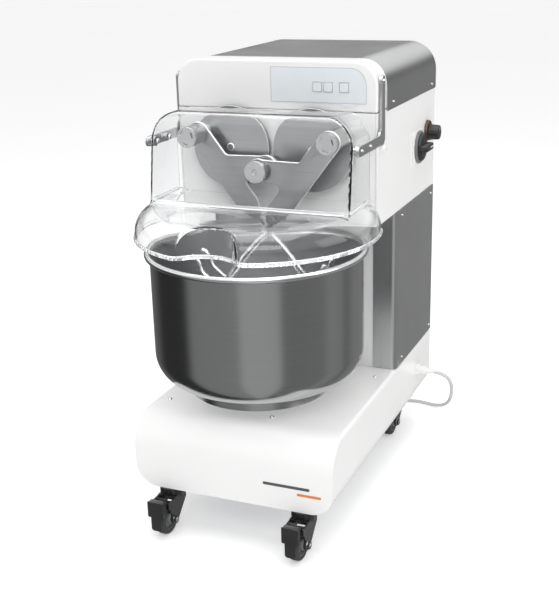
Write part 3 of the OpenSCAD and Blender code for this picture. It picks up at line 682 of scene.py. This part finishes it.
heads = []
for s in (-1, 1):
    for y, z in ((310, 704), (556, 702)):
        heads.append(button_head("h", "x", s, (s * 181.45, y, z), r=3.0, h=2.2))
    for y, z in ((373, 493), (566, 491), (379, 219), (572, 217)):
        heads.append(button_head("h", "x", s, (s * 180.35, y, z), r=3.0, h=2.2))
for x, y in ((-153.7, 85.6), (153.7, 300), (-153.7, 300), (44.8, 75.8)):
    heads.append(button_head("h", "z", 1, (x, y, 205.9), h=2.25))
o = joined("cover_screw_heads", heads)
dress(o, M["screw"], "frame", ["cover_screws"], angle=50)

# ------------------------------------------------------------------ inner drive
for n, k in (("bearing_housings", "cast"), ("drive_motor", "cast"), ("bowl_gearmotor", "cast"), ("drive_belt", "belt"), ("control_box", "green")):
    soften(n, 0.6, 2, mat=M[k])
for n in ("motor_pulley", "crank_shaft_right", "crank_shaft_left", "bowl_drive_shaft"):
    nodes[n].material_slots[0].material = M["machined"]

# ------------------------------------------------------------------ bowl
def bowl_piece():
    R, K, zb, zc = 177.5, 52.0, 259.0, 311.0
    prof = [(0.001, zb + 1.2), (40, zb + 1.2), (60, zb + 0.2), (R - K, zb)]
    for k in range(1, 17):
        a = math.pi / 2 * k / 16
        prof.append((R - K + K * math.sin(a), zc - K * math.cos(a)))
    prof += [(R, 360), (R, 420), (R, 468), (R, 475.5)]
    for k in range(15):
        a = math.radians(-158 + 300 * k / 14)
        prof.append((R + 3.9 + 5 * math.cos(a), 480.8 + 5 * math.sin(a)))
    prof += [(R - 2, 470), (R - 2, 420), (R - 2, 360), (R - 2, zc)]
    for k in range(1, 17):
        a = math.pi / 2 * (1 - k / 16)
        prof.append((R - K + (K - 2) * math.sin(a), zc - (K - 2) * math.cos(a)))
    prof += [(60, zb + 2.2), (40, zb + 3.2), (0.001, zb + 3.2)]
    return lathe("mixing_bowl", prof, (0, 134), "z", 192)


o = bowl_piece()
dress(o, M["bowl"], "bowl", ["bowl"], angle=60)
me = o.data
me.materials.append(M["rim"])
me.materials.append(M["bowl_in"])
# faces inside the bowl get the inside steel, whose tone is painted light for the inside of the bowl
for p in me.polygons:
    rr = math.hypot(p.center.x, p.center.y - P(0, 134, 0).y)
    if p.center.z > 0.4755:
        p.material_index = 1
    elif rr < 0.1767 and (p.normal.z > 0.02 or (p.center.z > 0.3 and p.normal.x * p.center.x + p.normal.y * (p.center.y - P(0, 134, 0).y) < 0)):
        p.material_index = 2
soften("bowl_turntable", 0.8, 3, mat=M["ring"])

# ------------------------------------------------------------------ cranks and arms
PINX, PINZ, HUBZ = 123.5016, 659.0217, 659.0217 - math.sqrt(133.6 ** 2 - 123.5016 ** 2)
LEG = math.radians(52.6)
D2 = Vector((-math.cos(LEG), -math.sin(LEG)))
N2 = Vector((math.sin(LEG), -math.cos(LEG)))   # lower right side of the leg


def arm_loop(s):
    pin = Vector((PINX, PINZ))
    end = pin + D2 * 160
    h = 19.2
    pts, rad = [], []

    def put(p, r):
        pts.append((s * p[0], p[1])); rad.append(r)
    # round about the pin
    for k in range(13):
        a = math.radians(-37.4 + 180 * k / 12)
        put(pin + Vector((math.cos(a), math.sin(a))) * h, 0)
    # leg's upper edge down to the top of the branch
    top = HUBZ + 16.5
    q = pin - N2 * h
    t = (q[1] - top) / -D2[1]
    put(q + D2 * t, 9)
    # along the branch to the hub
    put((16, top + 1.2), 6)
    for k in range(9):
        a = math.radians(62 + (302 - 62) * k / 8)
        put(Vector((0, HUBZ)) + Vector((math.cos(a), math.sin(a))) * 20, 0)
    bot = HUBZ - 22.5
    put((16, bot + 1.5), 6)
    t2 = (q[1] - bot) / -D2[1]
    put(q + D2 * t2, 13 if s > 0 else 8)
    # lower end of the leg, narrowing to the bar
    put(q + D2 * 150, 14)
    put(end + D2 * 18 - N2 * 7, 5)
    put(end + D2 * 18 + N2 * 7, 5)
    put(pin + N2 * h + D2 * 150, 14)
    loop = rounded(pts, rad, 6)
    return loop if s > 0 else loop[::-1]


for s, y0, side, hole in ((1, 150, "right", 9.0), (-1, 182, "left", 13.0)):
    loops = [arm_loop(s), circle(s * PINX, PINZ, 9.3, 32), circle(0, HUBZ, hole + 0.3, 32)]
    o = plate("arm_plate_" + side + "_cut", loops, "y", y0, y0 + 6, 0.7, 2)
    dress(o, M["steel_arm"], "arm_" + side, ["arm_plate_" + side])
    # side faces of the plate get the lighter edge steel: a painted highlight along the edges
    o.data.materials.append(M["edge"])
    for p in o.data.polygons:
        if abs(p.normal.y) < 0.9:
            p.material_index = 1

for s in ("right", "left"):
    soften("crank_disc_" + s, 0.9, 3, mat=M["steel_disc"], edge=M["edge"])
    soften("arm_sleeve_" + s, 0.8, 3, mat=M["steel_bright"])
    soften("crank_pin_" + s, 0.8, 3, mat=M["steel_bright"])
soften("hub_pin", 0.8, 3, mat=M["steel_bright"])


def leg(t, y):
    return Vector((PINX + D2[0] * t, y, PINZ + D2[1] * t))


def fork(side, s, bar, cross, fingers, finger_path, short_y):
    objs = [tube("f", soft_line(bar, 20), 6, 20), tube("f", [leg(316, cross[0]), leg(316, cross[1])], 6, 20)]
    for y in fingers:
        objs.append(tube("f", soft_line(finger_path(y), 8), 4.5, 16))
    objs.append(tube("f", [leg(316, short_y), Vector((-28, short_y, 372))], 4.5, 16))
    o = joined("fork_%s_bars" % side, objs)
    if s < 0:
        for v in o.data.vertices:
            v.co.x = -v.co.x
        o.data.flip_normals()
    dress(o, M["steel_rod"], "arm_" + side, ["fork_" + side], angle=50)


z316 = leg(316, 0)[2]
fork("right", 1, [leg(156, 161.5), leg(180, 161.5), leg(240, 156), leg(317, 148)], (124, 168), (124, 166),
     lambda y: [leg(316, y), Vector((-100, y, z316 + 26)), Vector((-106, y, z316 + 48)), Vector((-118, y, z316 + 52))], 146)
fork("left", -1, [leg(156, 193.5), leg(180, 193.5), leg(240, 195.5), leg(317, 198)], (184, 224), (184, 222),
     lambda y: [leg(316, y), Vector((-96, y, z316 + 22)), Vector((-102, y, z316 + 40))], 204)


# ------------------------------------------------------------------ guard
def guard_piece():
    prof = rounded([(93, 530), (117.5, 694), (126, 705), (204, 701), (204, 530)], [0, 16, 12, 0, 0], 6)
    a = prism("clear_guard", prof, "x", -177, 177)
    b = prism("tmp", arch(-176, 176, 520, 705, 0, 48, 16), "y", 60, 230)
    boolean(a, b, "INTERSECT")
    bevel(a, 13.0, 5, 30)
    baked(a)
    dome = [(0.001, 556), (150, 556)]
    for k in range(17):
        t = math.pi / 2 * k / 16
        dome.append((165 + 38.5 * math.sin(t), 517.5 + 38.5 * math.cos(t)))
    dome += [(203.5, 505), (0.001, 505)]
    d = lathe("tmp_d", dome, (0, 143.5), "z", 144)
    bite = lathe("tmp_b", [(58, 495), (58, 570)], (0, -83), "z", 96)
    boolean(d, bite, "DIFFERENCE")
    back = prism("tmp_k", [(-260, 214.5), (260, 214.5), (260, 500), (-260, 500)], "z", 480, 620)
    boolean(d, back, "DIFFERENCE")
    boolean(a, d, "UNION")
    # one moulded skin: even mesh, then relaxed edges
    m = a.modifiers.new("even", "REMESH"); m.mode = "VOXEL"; m.voxel_size = 0.0024; m.use_smooth_shade = True
    sm = a.modifiers.new("relax", "SMOOTH"); sm.factor = 0.5; sm.iterations = 9
    baked(a)
    me = a.data
    bm = bmesh.new(); bm.from_mesh(me)
    # open the back and the underside
    yb1, yb2, zb = P(0, 202.0, 0).y, P(0, 212.4, 0).y, P(0, 0, 506.2).z
    geom = bm.verts[:] + bm.edges[:] + bm.faces[:]
    bmesh.ops.bisect_plane(bm, geom=geom, plane_co=(0, 0, zb), plane_no=(0, 0, -1), clear_outer=True)
    geom = bm.verts[:] + bm.edges[:] + bm.faces[:]
    bmesh.ops.bisect_plane(bm, geom=geom, plane_co=(0, yb2, 0), plane_no=(0, 1, 0), clear_outer=True)
    top = [f for f in bm.faces if f.calc_center_median().z > 0.5585]
    geom = list({v for f in top for v in f.verts}) + list({e for f in top for e in f.edges}) + top
    bmesh.ops.bisect_plane(bm, geom=geom, plane_co=(0, yb1, 0), plane_no=(0, 1, 0), clear_outer=False)
    kill = [f for f in bm.faces if f.calc_center_median().z > 0.557 and f.calc_center_median().y > yb1 + 1e-5]
    bmesh.ops.delete(bm, geom=kill, context="FACES")
    loose = [v for v in bm.verts if not v.link_faces]
    bmesh.ops.delete(bm, geom=loose, context="VERTS")
    bmesh.ops.recalc_face_normals(bm, faces=bm.faces)
    bm.to_mesh(me); bm.free()
    return a


def lip_path():
    """line of the rolled lip: round the skirt and in round the feeding recess"""
    R, cy, rr, ry = 202.6, 143.5, 61.5, -83.0
    d = cy - ry
    # meeting point of the two circles
    yy = (R * R - rr * rr + d * d) / (2 * d)          # below the dome centre
    xx = math.sqrt(R * R - yy * yy)
    a_meet = math.atan2(-yy, xx)
    start = math.asin((209.5 - cy) / R)
    pts = []
    n = 70
    for k in range(n + 1):
        a = start + (a_meet - start) * k / n
        pts.append((R * math.cos(a), cy + R * math.sin(a)))
    b0 = math.atan2(cy - yy - ry, xx)
    m = 20
    for k in range(1, m):
        b = b0 + (math.pi - 2 * b0) * k / m
        pts.append((rr * math.cos(b), ry + rr * math.sin(b)))
    for k in range(n, -1, -1):
        a = start + (a_meet - start) * k / n
        pts.append((-R * math.cos(a), cy + R * math.sin(a)))
    # soften the two corners
    for _ in range(6):
        pts = [pts[0]] + [((pts[i - 1][0] + 2 * pts[i][0] + pts[i + 1][0]) / 4, (pts[i - 1][1] + 2 * pts[i][1] + pts[i + 1][1]) / 4) for i in range(1, len(pts) - 1)] + [pts[-1]]
    return [(x, y, 508.7) for x, y in pts]


g = guard_piece()
so = g.modifiers.new("wall", "SOLIDIFY")
so.thickness, so.offset, so.use_even_offset = 0.0032, -1.0, True
dress(g, M["clear"], "guard", ["guard_shell"], angle=180)
bead = tube("clear_guard_lip", lip_path(), 3.6, 16)
dress(bead, M["bead"], "guard", angle=60)

yr = 96.5
path = [(-175.5, 199, 558.5), (-175.5, 150, 558.5)]
for k in range(9):
    t = math.pi + (math.pi / 2) * k / 8
    path.append((-155.5 + 20 * math.cos(t), yr + 20 + 20 * math.sin(t), 558.5))
for k in range(1, 12):
    path.append((-155.5 + 311 * k / 12, yr, 558.5))
for k in range(9):
    t = -math.pi / 2 + (math.pi / 2) * k / 8
    path.append((155.5 + 20 * math.cos(t), yr + 20 + 20 * math.sin(t), 558.5))
path += [(175.5, 150, 558.5), (175.5, 199, 558.5)]
rb = tube("clear_guard_ridge", path, 3.0, 16)
dress(rb, M["bead"], "guard", angle=60)

for s in ("right", "left"):
    soften("guard_arm_" + s, 1.6, 3, mat=M["steel_side"], edge=M["edge"])
fast, spacers = [], []
for s in (-1, 1):
    for y, r in ((130, 8.4), (172, 7.0)):
        spacers.append(lathe("n", [(0.001, s * 176.2), (r - 0.6, s * 176.2), (r, s * 176.8), (r, s * 181.4), (r - 0.6, s * 182.0), (0.001, s * 182.0)], (y, 653), "x", 40))
        fast.append(button_head("h", "x", s, (s * 185.9, y, 653), r=3.4, h=2.8))
        fast.append(lathe("n", [(0.001, s * 171.9), (4.2, s * 171.9), (4.2, s * 170.4), (3.0, s * 169.4), (0.001, s * 168.9)], (y, 653), "x", 24))
o = joined("guard_fastener_heads", fast)
dress(o, M["screw"], "guard", ["guard_screws"], angle=50)
o = joined("guard_spacer_discs", spacers)
dress(o, M["steel_side"], "guard", angle=40)
pv, stops, dots = [], [], []
for s in (-1, 1):
    pv.append(lathe("n", [(0.001, s * 179.9), (7.6, s * 179.9), (7.6, s * 181.6), (7.0, s * 181.9), (4.0, s * 181.9), (4.0, s * 186.2), (0.001, s * 186.2)], (240, 747), "x", 40))
    pv.append(button_head("h", "x", s, (s * 186.3, 240, 747), r=3.4, h=2.8))
    stops.append(lathe("n", [(0.001, s * 179.9), (7.2, s * 179.9), (7.2, s * 187.0), (6.2, s * 189.2), (4.6, s * 189.8), (2.3, s * 189.8), (2.2, s * 186.5), (0.001, s * 186.5)], (243, 636.4), "x", 40))
    dots.append(button_head("h", "x", s, (s * 186.4, 243, 636.4), r=2.1, h=1.6))
o = joined("guard_pivot_screws", pv)
dress(o, M["screw"], "frame", ["guard_pivots_and_stops"], angle=45)
o = joined("guard_rest_buffers", stops)
dress(o, M["whitep"], "frame", angle=40)
o = joined("guard_buffer_screws", dots)
dress(o, M["black"], "frame", angle=40)

# ------------------------------------------------------------------ controls
o = plate("switch_plate_white", [rounded([(434, 566.5), (498, 566.5), (498, 630.5), (434, 630.5)], 5, 6)], "x", 180.0, 183.0, 0.9, 3)
dress(o, M["whitep"], "frame", ["switch_plates"])
o = lathe("switch_bezel", [(0.001, 183), (30, 183), (30, 185.6), (29.2, 187.0), (27.8, 187.9), (25.8, 187.9), (25.4, 187.0), (0.001, 187.0)], (466, 600), "x", 64)
dress(o, M["grey"], "frame", angle=40)
o = lathe("dial_bezel", [(0.001, 180), (19, 180), (19, 184.4), (18.2, 185.7), (16.6, 185.9), (16.2, 185.2), (0.001, 185.2)], (530, 620), "x", 64)
dress(o, M["amber"], "frame", angle=40)


def knob_main():
    a = lathe("main_switch_grip", [(0.001, 188.4), (25, 188.4), (25, 190.6), (24.3, 191.8), (22.5, 193.0), (14, 194.4), (0.001, 194.4)], (466, 600), "x", 72)
    b = prism("tmp_bar", rounded([(442.5, 593.6), (489.5, 593.6), (489.5, 606.4), (442.5, 606.4)], 6.0, 6), "x", 189.5, 204.9)
    bevel(b, 1.6, 3, 50); baked(b)
    return boolean(a, b, "UNION")


o = knob_main()
dress(o, M["black"], "main_switch", ["main_switch_knob"], angle=40)
o = plate("main_switch_pointer", [rounded([(468, 598.9), (487.5, 598.9), (487.5, 601.1), (468, 601.1)], 0.9, 3)], "x", 204.6, 205.0, 0.1, 1)
dress(o, M["whitep"], "main_switch")


def knob_speed():
    n = 72
    prof = [(0.001, 186.4), (15, 186.4), (15, 189.0), (14.2, 190.0), (13.6, 203.0), (12.6, 204.8), (11.0, 205.4), (0.001, 205.4)]
    v, f = [], []
    for r, h in prof:
        for k in range(n):
            a = 2 * math.pi * k / n
            q = r - (0.55 * (0.5 - 0.5 * math.cos(18 * a)) if 189.5 < h < 204 else 0)
            q = max(q, 0.001)
            v.append(P(h, 530 + q * math.cos(a), 617 + q * math.sin(a)))
    for i in range(len(prof) - 1):
        for k in range(n):
            j = (k + 1) % n
            f.append([i * n + k, i * n + j, (i + 1) * n + j, (i + 1) * n + k])
    o = obj_from("speed_dial_grip", v, f)
    bm = bmesh.new(); bm.from_mesh(o.data)
    bmesh.ops.remove_doubles(bm, verts=bm.verts, dist=3e-6)
    bmesh.ops.recalc_face_normals(bm, faces=bm.faces)
    bm.to_mesh(o.data); bm.free()
    return o


o = knob_speed()
dress(o, M["black"], "speed_dial", ["speed_knob"], angle=40)
o = plate("speed_dial_mark", [rounded([(529.2, 620), (530.8, 620), (530.8, 628), (529.2, 628)], 0.6, 3)], "x", 205.2, 205.48, 0.08, 1)
dress(o, M["whitep"], "speed_dial")

# ------------------------------------------------------------------ casters
soften("caster_heads", 0.9, 3, mat=M["black_paint"])
for c, x, y in (("fr", 122, 17), ("fl", -122, 17), ("rr", 122, 521), ("rl", -122, 521)):
    soften("caster_fork_" + c, 0.8, 3, mat=M["black_paint"])
    # wheel: rubber tread with a groove, hub with ribs
    ya, za = y - 25, 28.0
    prof = [(19.0, -8.6), (21.5, -9.6), (24.6, -9.4), (26.9, -7.6), (27.95, -4.6), (28.0, -1.2), (27.5, -0.5), (27.5, 0.5), (28.0, 1.2), (27.95, 4.6), (26.9, 7.6), (24.6, 9.4), (21.5, 9.6), (19.0, 8.6)]
    t = lathe("caster_tyre_" + c, [(r, x + h) for r, h in prof], (ya, za), "x", 72, closed=True)
    dress(t, M["tyre"], "wheel_" + c, ["caster_wheel_" + c], angle=40)
    hub = [(4.1, -12), (9.6, -12), (10, -11.4), (10.4, -4.2), (17.2, -3.4), (18.2, -8.0), (19.4, -8.4), (19.6, 0), (19.4, 8.4), (18.2, 8.0), (17.2, 3.4), (10.4, 4.2), (10, 11.4), (9.6, 12), (4.1, 12)]
    h = lathe("caster_hub_" + c, [(r, x + q) for r, q in hub], (ya, za), "x", 60, closed=True)
    dress(h, M["grey"], "wheel_" + c, angle=40)
    nuts = []
    for s in (-1, 1):
        hexo = [(ya + 5.6 * math.cos(math.radians(60 * k + 15)), za + 5.6 * math.sin(math.radians(60 * k + 15))) for k in range(6)]
        a, b = sorted((x + s * 17.1, x + s * 21.2))
        nut = prism("n", hexo, "x", a, b)
        bevel(nut, 0.6, 2, 30)
        nuts.append(nut)
        nuts.append(lathe("n", [(0.001, x + s * 21.0), (3.2, x + s * 21.0), (3.2, x + s * 22.0), (2.4, x + s * 22.6), (0.001, x + s * 22.6)], (ya, za), "x", 24))
        nuts.append(lathe("n", [(0.001, x + s * 17.0), (7.0, x + s * 17.0), (7.0, x + s * 17.8), (0.001, x + s * 17.8)], (ya, za), "x", 32))
    o = joined("caster_axle_nuts_" + c, nuts)
    dress(o, M["screw"], "caster_" + c, angle=35)
    ring = lathe("caster_race_" + c, [(6.3, 67.2), (16.5, 67.2), (17.6, 68.4), (17.6, 70.6), (16.5, 71.6), (6.3, 71.6)], (x, y), "z", 48, closed=True)
    dress(ring, M["screw"], "caster_" + c, angle=40)
for s, x in (("right", 122), ("left", -122)):
    y0 = 17
    objs = []
    # broad upper lip, narrower lower apron, both pressed from one sheet
    up = plate("p", [rounded([(x - 14.6, 46), (x + 14.6, 46), (x + 14.6, 74.6), (x - 14.6, 74.6)], [2.2, 2.2, 1.2, 1.2], 4)], "y", y0 - 62, y0 - 59.2, 0.6, 2)
    lo = plate("p", [rounded([(x - 9.5, 20.4), (x + 9.5, 20.4), (x + 9.5, 50), (x - 9.5, 50)], [5, 5, 1, 1], 4)], "y", y0 - 61.4, y0 - 58.6, 0.6, 2)
    objs += [up, lo]
    top = prism("p", [(y0 - 61.4, 71.9), (y0 - 52, 71.9), (y0 - 40, 64), (y0 - 33, 62), (y0 - 33, 64.6), (y0 - 39.4, 66.8), (y0 - 51.4, 74.7), (y0 - 61.4, 74.7)], "x", x - 12.6, x + 12.6)
    bevel(top, 0.7, 2, 25); objs.append(top)
    for q in (-1, 1):
        ear = plate("p", [rounded([(y0 - 60, 44), (y0 - 51, 55), (y0 - 34, 57), (y0 - 34, 65.6), (y0 - 51.5, 73.5), (y0 - 60, 73.5)], 2.0, 3)], "x", x + q * 12.4 - 0.9, x + q * 12.4 + 0.9, 0.4, 2)
        objs.append(ear)
    o = joined("caster_brake_lever_" + s, objs)
    dress(o, M["black_paint"], "pedal_" + s, ["brake_pedal_" + s], angle=40)

# ------------------------------------------------------------------ mains lead
ROUTE = [[205, 488, 152], [213, 489, 151], [222, 493, 148], [230, 501, 142], [235, 513, 133], [237, 527, 121], [237, 542, 107], [235, 558, 91], [231, 574, 74], [226, 590, 57], [219, 605, 41], [210, 620, 27], [199, 634, 16], [186, 646, 8], [172, 654, 4.2], [156, 659, 3.6], [139, 662, 3.6], [122, 661, 3.6], [105, 657, 3.6], [90, 654.5, 3.6]]
TAIL = [[48, 651.5, 17.4], [34, 651.5, 16.6], [20, 652, 15.2], [8, 652, 14.2], [2, 652, 14]]
CX, CY = 70.0, 693.0


def coil_points():
    """wound clockwise seen from above: outer and inner turns in three layers, in at the front and out at the front"""
    lay = [(42.0, 3.6), (35.0, 3.6), (35.0, 10.6), (42.0, 10.6), (42.0, 17.6)]
    pts = []
    per = 30
    total = len(lay) * per
    for k in range(2, total + 1):
        t = k / per
        i = min(int(t), len(lay) - 1)
        u = t - i
        r0, z0 = lay[i]
        r1, z1 = lay[min(i + 1, len(lay) - 1)]
        # step over to the next turn in the last fifth of each turn
        w = max(0.0, (u - 0.8) / 0.2)
        w = w * w * (3 - 2 * w)
        r, z = r0 + (r1 - r0) * w, z0 + (z1 - z0) * w
        a = math.radians(-90) - 2 * math.pi * t
        pts.append([CX + r * math.cos(a), CY + r * math.sin(a), z])
    return pts


def spline_piece(name, pts, radius, handle="AUTO"):
    cu = bpy.data.curves.new(name, "CURVE")
    cu.dimensions = "3D"
    cu.bevel_depth, cu.bevel_resolution, cu.resolution_u = radius / 1000, 5, 3
    cu.use_fill_caps = True
    sp = cu.splines.new("NURBS")
    sp.points.add(len(pts) - 1)
    for q, p in zip(sp.points, pts):
        q.co = (*P(*p), 1)
    sp.order_u = 3
    sp.use_endpoint_u = True
    o = bpy.data.objects.new(name, cu)
    scene.collection.objects.link(o)
    return o


lead_pts = ROUTE + coil_points() + TAIL
lead = spline_piece("mains_lead", lead_pts, 3.5)
lead.data.materials.append(M["cord"])
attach(lead, "frame")
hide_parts("mains_cord", "cord_coil")

relief_pts = [Vector((199 + 1.2 * k, 488 + (0.02 * k * k if k > 4 else 0), 152 - (0.006 * k * k))) for k in range(0, 20)]
relief = tube("lead_strain_relief", relief_pts, [6.4 - 0.135 * k - (0.35 if k % 3 == 0 else 0) for k in range(20)], 24)
dress(relief, M["whitep"], "frame", angle=50)
soften("cable_gland", 0.6, 2, mat=M["whitep"])


def plug_piece():
    yc = 652
    body = rounded([(-65, yc - 19), (-30, yc - 19), (-20, yc - 12), (-20, yc + 12), (-30, yc + 19), (-65, yc + 19)], [4, 8, 6, 6, 8, 4], 5)
    a = prism("plug_body", body, "z", 0.2, 28.0)
    bevel(a, 3.2, 3, 50); baked(a)
    for k in range(4):
        x = -27 + 4.2 * k
    nose = lathe("tmp_n", [(0.001, -24), (8, -24), (8, -18), (7.2, -16.8), (7.4, -13), (6.4, -11.8), (6.6, -8), (5.7, -6.8), (5.8, -3), (4.6, -1.8), (4.2, 1.6), (0.001, 1.6)], (yc, 14), "x", 40)
    return boolean(a, nose, "UNION")


plug = plug_piece()
dress(plug, M["cord"], "frame", ["mains_plug"], angle=40)
pins = joined("plug_pins", [lathe("p", [(0.001, -64), (2.4, -64), (2.4, -82.8), (1.6, -83.8), (0.001, -83.8)], (652 + s, 14), "x", 24) for s in (-9.5, 9.5)])
dress(pins, M["brass"], "frame", angle=40)
tie = lathe("lead_tie", [(3.2, -4), (4.0, -4), (4.0, 4), (3.2, 4)], (0, 0), "x", 16, closed=True)
bpy.data.objects.remove(tie)

# ------------------------------------------------------------------ floor, light
fl = obj_from("floor", [(-30, -30, 0), (30, -30, 0), (30, 45, 0), (-30, 45, 0)], [[0, 1, 2, 3]])
gf = Nodes("pale_floor")
cloud = gf.noise(size=0.6, detail=2.0)
gf.link(gf.mix_color(gf.remap(cloud, 0, 1), (0.86, 0.86, 0.86), (0.88, 0.88, 0.88)), gf.bsdf.inputs["Base Color"])
gf.bsdf.inputs["Roughness"].default_value = 0.9
gf.bsdf.inputs["Specular IOR Level"].default_value = 0.1
gf.bsdf.inputs["Emission Color"].default_value = (1, 1, 1, 1)
gf.bsdf.inputs["Emission Strength"].default_value = 0.33
fl.data.materials.append(gf.mat)
fl.visible_glossy = False


def area(name, loc, target, size, power, size_y=None, glossy=True):
    ld = bpy.data.lights.new(name, "AREA")
    ld.energy = power
    ld.shape = "RECTANGLE"
    ld.size, ld.size_y = size, size_y or size
    o = bpy.data.objects.new(name, ld)
    scene.collection.objects.link(o)
    o.location = loc
    o.rotation_mode = "QUATERNION"
    o.rotation_quaternion = (Vector(target) - Vector(loc)).to_track_quat("-Z", "Y")
    o.visible_glossy = glossy
    return o


top = area("top_soft", (0.1, -0.3, 3.2), (0, 0, 0.4), 2.4, 44, 2.4)
open_parts = bpy.data.collections.new("passed_by_the_top_light")
for ob in list(scene.objects):
    q, ok = ob, False
    while q is not None:
        if any(k in q.name for k in ("bowl", "guard", "fork", "turntable")) and "gearmotor" not in q.name:
            ok = True
        q = None
    if ok and ob.type == "MESH":
        open_parts.objects.link(ob)
top.light_linking.blocker_collection = open_parts
for co in open_parts.collection_objects:
    co.light_linking.link_state = "EXCLUDE"
area("camera_soft", (1.05, -2.35, 2.25), (0, -0.05, 0.45), 1.9, 20, 1.0)
area("right_soft", (2.6, 0.1, 1.5), (0, 0, 0.45), 1.4, 12, 1.6)

w = bpy.data.worlds.new("studio")
scene.world = w
w.use_nodes = True
nt = w.node_tree
nt.nodes.clear()
out = nt.nodes.new("ShaderNodeOutputWorld")
bg = nt.nodes.new("ShaderNodeBackground")
nt.links.new(bg.outputs[0], out.inputs[0])
tc = nt.nodes.new("ShaderNodeTexCoord")
sp = nt.nodes.new("ShaderNodeSeparateXYZ")
nt.links.new(tc.outputs["Generated"], sp.inputs[0])


def wmath(op, a=None, b=None, va=None, vb=None):
    m = nt.nodes.new("ShaderNodeMath"); m.operation = op
    if a is not None:
        nt.links.new(a, m.inputs[0])
    elif va is not None:
        m.inputs[0].default_value = va
    if b is not None:
        nt.links.new(b, m.inputs[1])
    elif vb is not None:
        m.inputs[1].default_value = vb
    return m.outputs[0]


def wdot(v):
    d = nt.nodes.new("ShaderNodeVectorMath"); d.operation = "DOT_PRODUCT"
    d.inputs[1].default_value = v
    nt.links.new(tc.outputs["Generated"], d.inputs[0])
    return d.outputs["Value"]


def wramp(src, lo, hi, stops, smooth_it=False):
    mr = nt.nodes.new("ShaderNodeMapRange")
    mr.inputs["From Min"].default_value, mr.inputs["From Max"].default_value = lo, hi
    nt.links.new(src, mr.inputs["Value"])
    r = nt.nodes.new("ShaderNodeValToRGB")
    r.color_ramp.interpolation = "EASE" if smooth_it else "LINEAR"
    nt.links.new(mr.outputs[0], r.inputs["Fac"])
    el = r.color_ramp.elements
    el[0].position, el[0].color = (stops[0][0] - lo) / (hi - lo), (stops[0][1],) * 3 + (1,)
    el[1].position, el[1].color = (stops[-1][0] - lo) / (hi - lo), (stops[-1][1],) * 3 + (1,)
    for pos, val in stops[1:-1]:
        e = el.new((pos - lo) / (hi - lo)); e.color = (val,) * 3 + (1,)
    return r.outputs[0]


# what polished metal sees: gaps and panels round the horizon, brighter overhead
th = math.radians(24.3)
az = wmath("ARCTAN2", wdot((math.cos(th), math.sin(th), 0)), wdot((math.sin(th), -math.cos(th), 0)))
az = wmath("MULTIPLY", az, vb=180 / math.pi)
low = wramp(az, -180, 180, [(-180, 0.22), (-140, 0.12), (-126, 0.045), (-86, 0.045), (-76, 0.30), (-24, 0.33), (-18, 0.52), (20, 0.50), (26, 0.23), (72, 0.25), (80, 0.33), (98, 0.32), (108, 0.20), (124, 0.30), (180, 0.22)])
high = wramp(sp.outputs["Z"], -1, 1, [(-1, 0.3), (0.0, 0.26), (0.08, 0.20), (0.15, 0.22), (0.23, 0.85), (0.30, 1.15), (0.45, 1.0), (1.0, 1.0)])
up = wramp(sp.outputs["Z"], -1, 1, [(-1, 0.0), (-0.08, 0.0), (0.06, 1.0), (1.0, 1.0)])
mixed = nt.nodes.new("ShaderNodeMix"); mixed.data_type = "RGBA"
nt.links.new(up, mixed.inputs[0]); nt.links.new(low, mixed.inputs[6]); nt.links.new(high, mixed.inputs[7])
# even white tent for matt surfaces and for what is seen through the clear guard
lp = nt.nodes.new("ShaderNodeLightPath")
clear_view = wmath("MULTIPLY", lp.outputs["Is Transmission Ray"], wmath("LESS_THAN", lp.outputs["Glossy Depth"], vb=0.5))
m1 = nt.nodes.new("ShaderNodeMix"); m1.data_type = "RGBA"
nt.links.new(clear_view, m1.inputs[0])
nt.links.new(mixed.outputs[2], m1.inputs[6]); m1.inputs[7].default_value = (0.93, 0.93, 0.93, 1)
m2 = nt.nodes.new("ShaderNodeMix"); m2.data_type = "RGBA"
nt.links.new(wmath("GREATER_THAN", lp.outputs["Diffuse Depth"], vb=0.5), m2.inputs[0])
nt.links.new(m1.outputs[2], m2.inputs[6]); m2.inputs[7].default_value = (0.58, 0.58, 0.58, 1)
nt.links.new(m2.outputs[2], bg.inputs["Color"])
bg.inputs["Strength"].default_value = 1.0
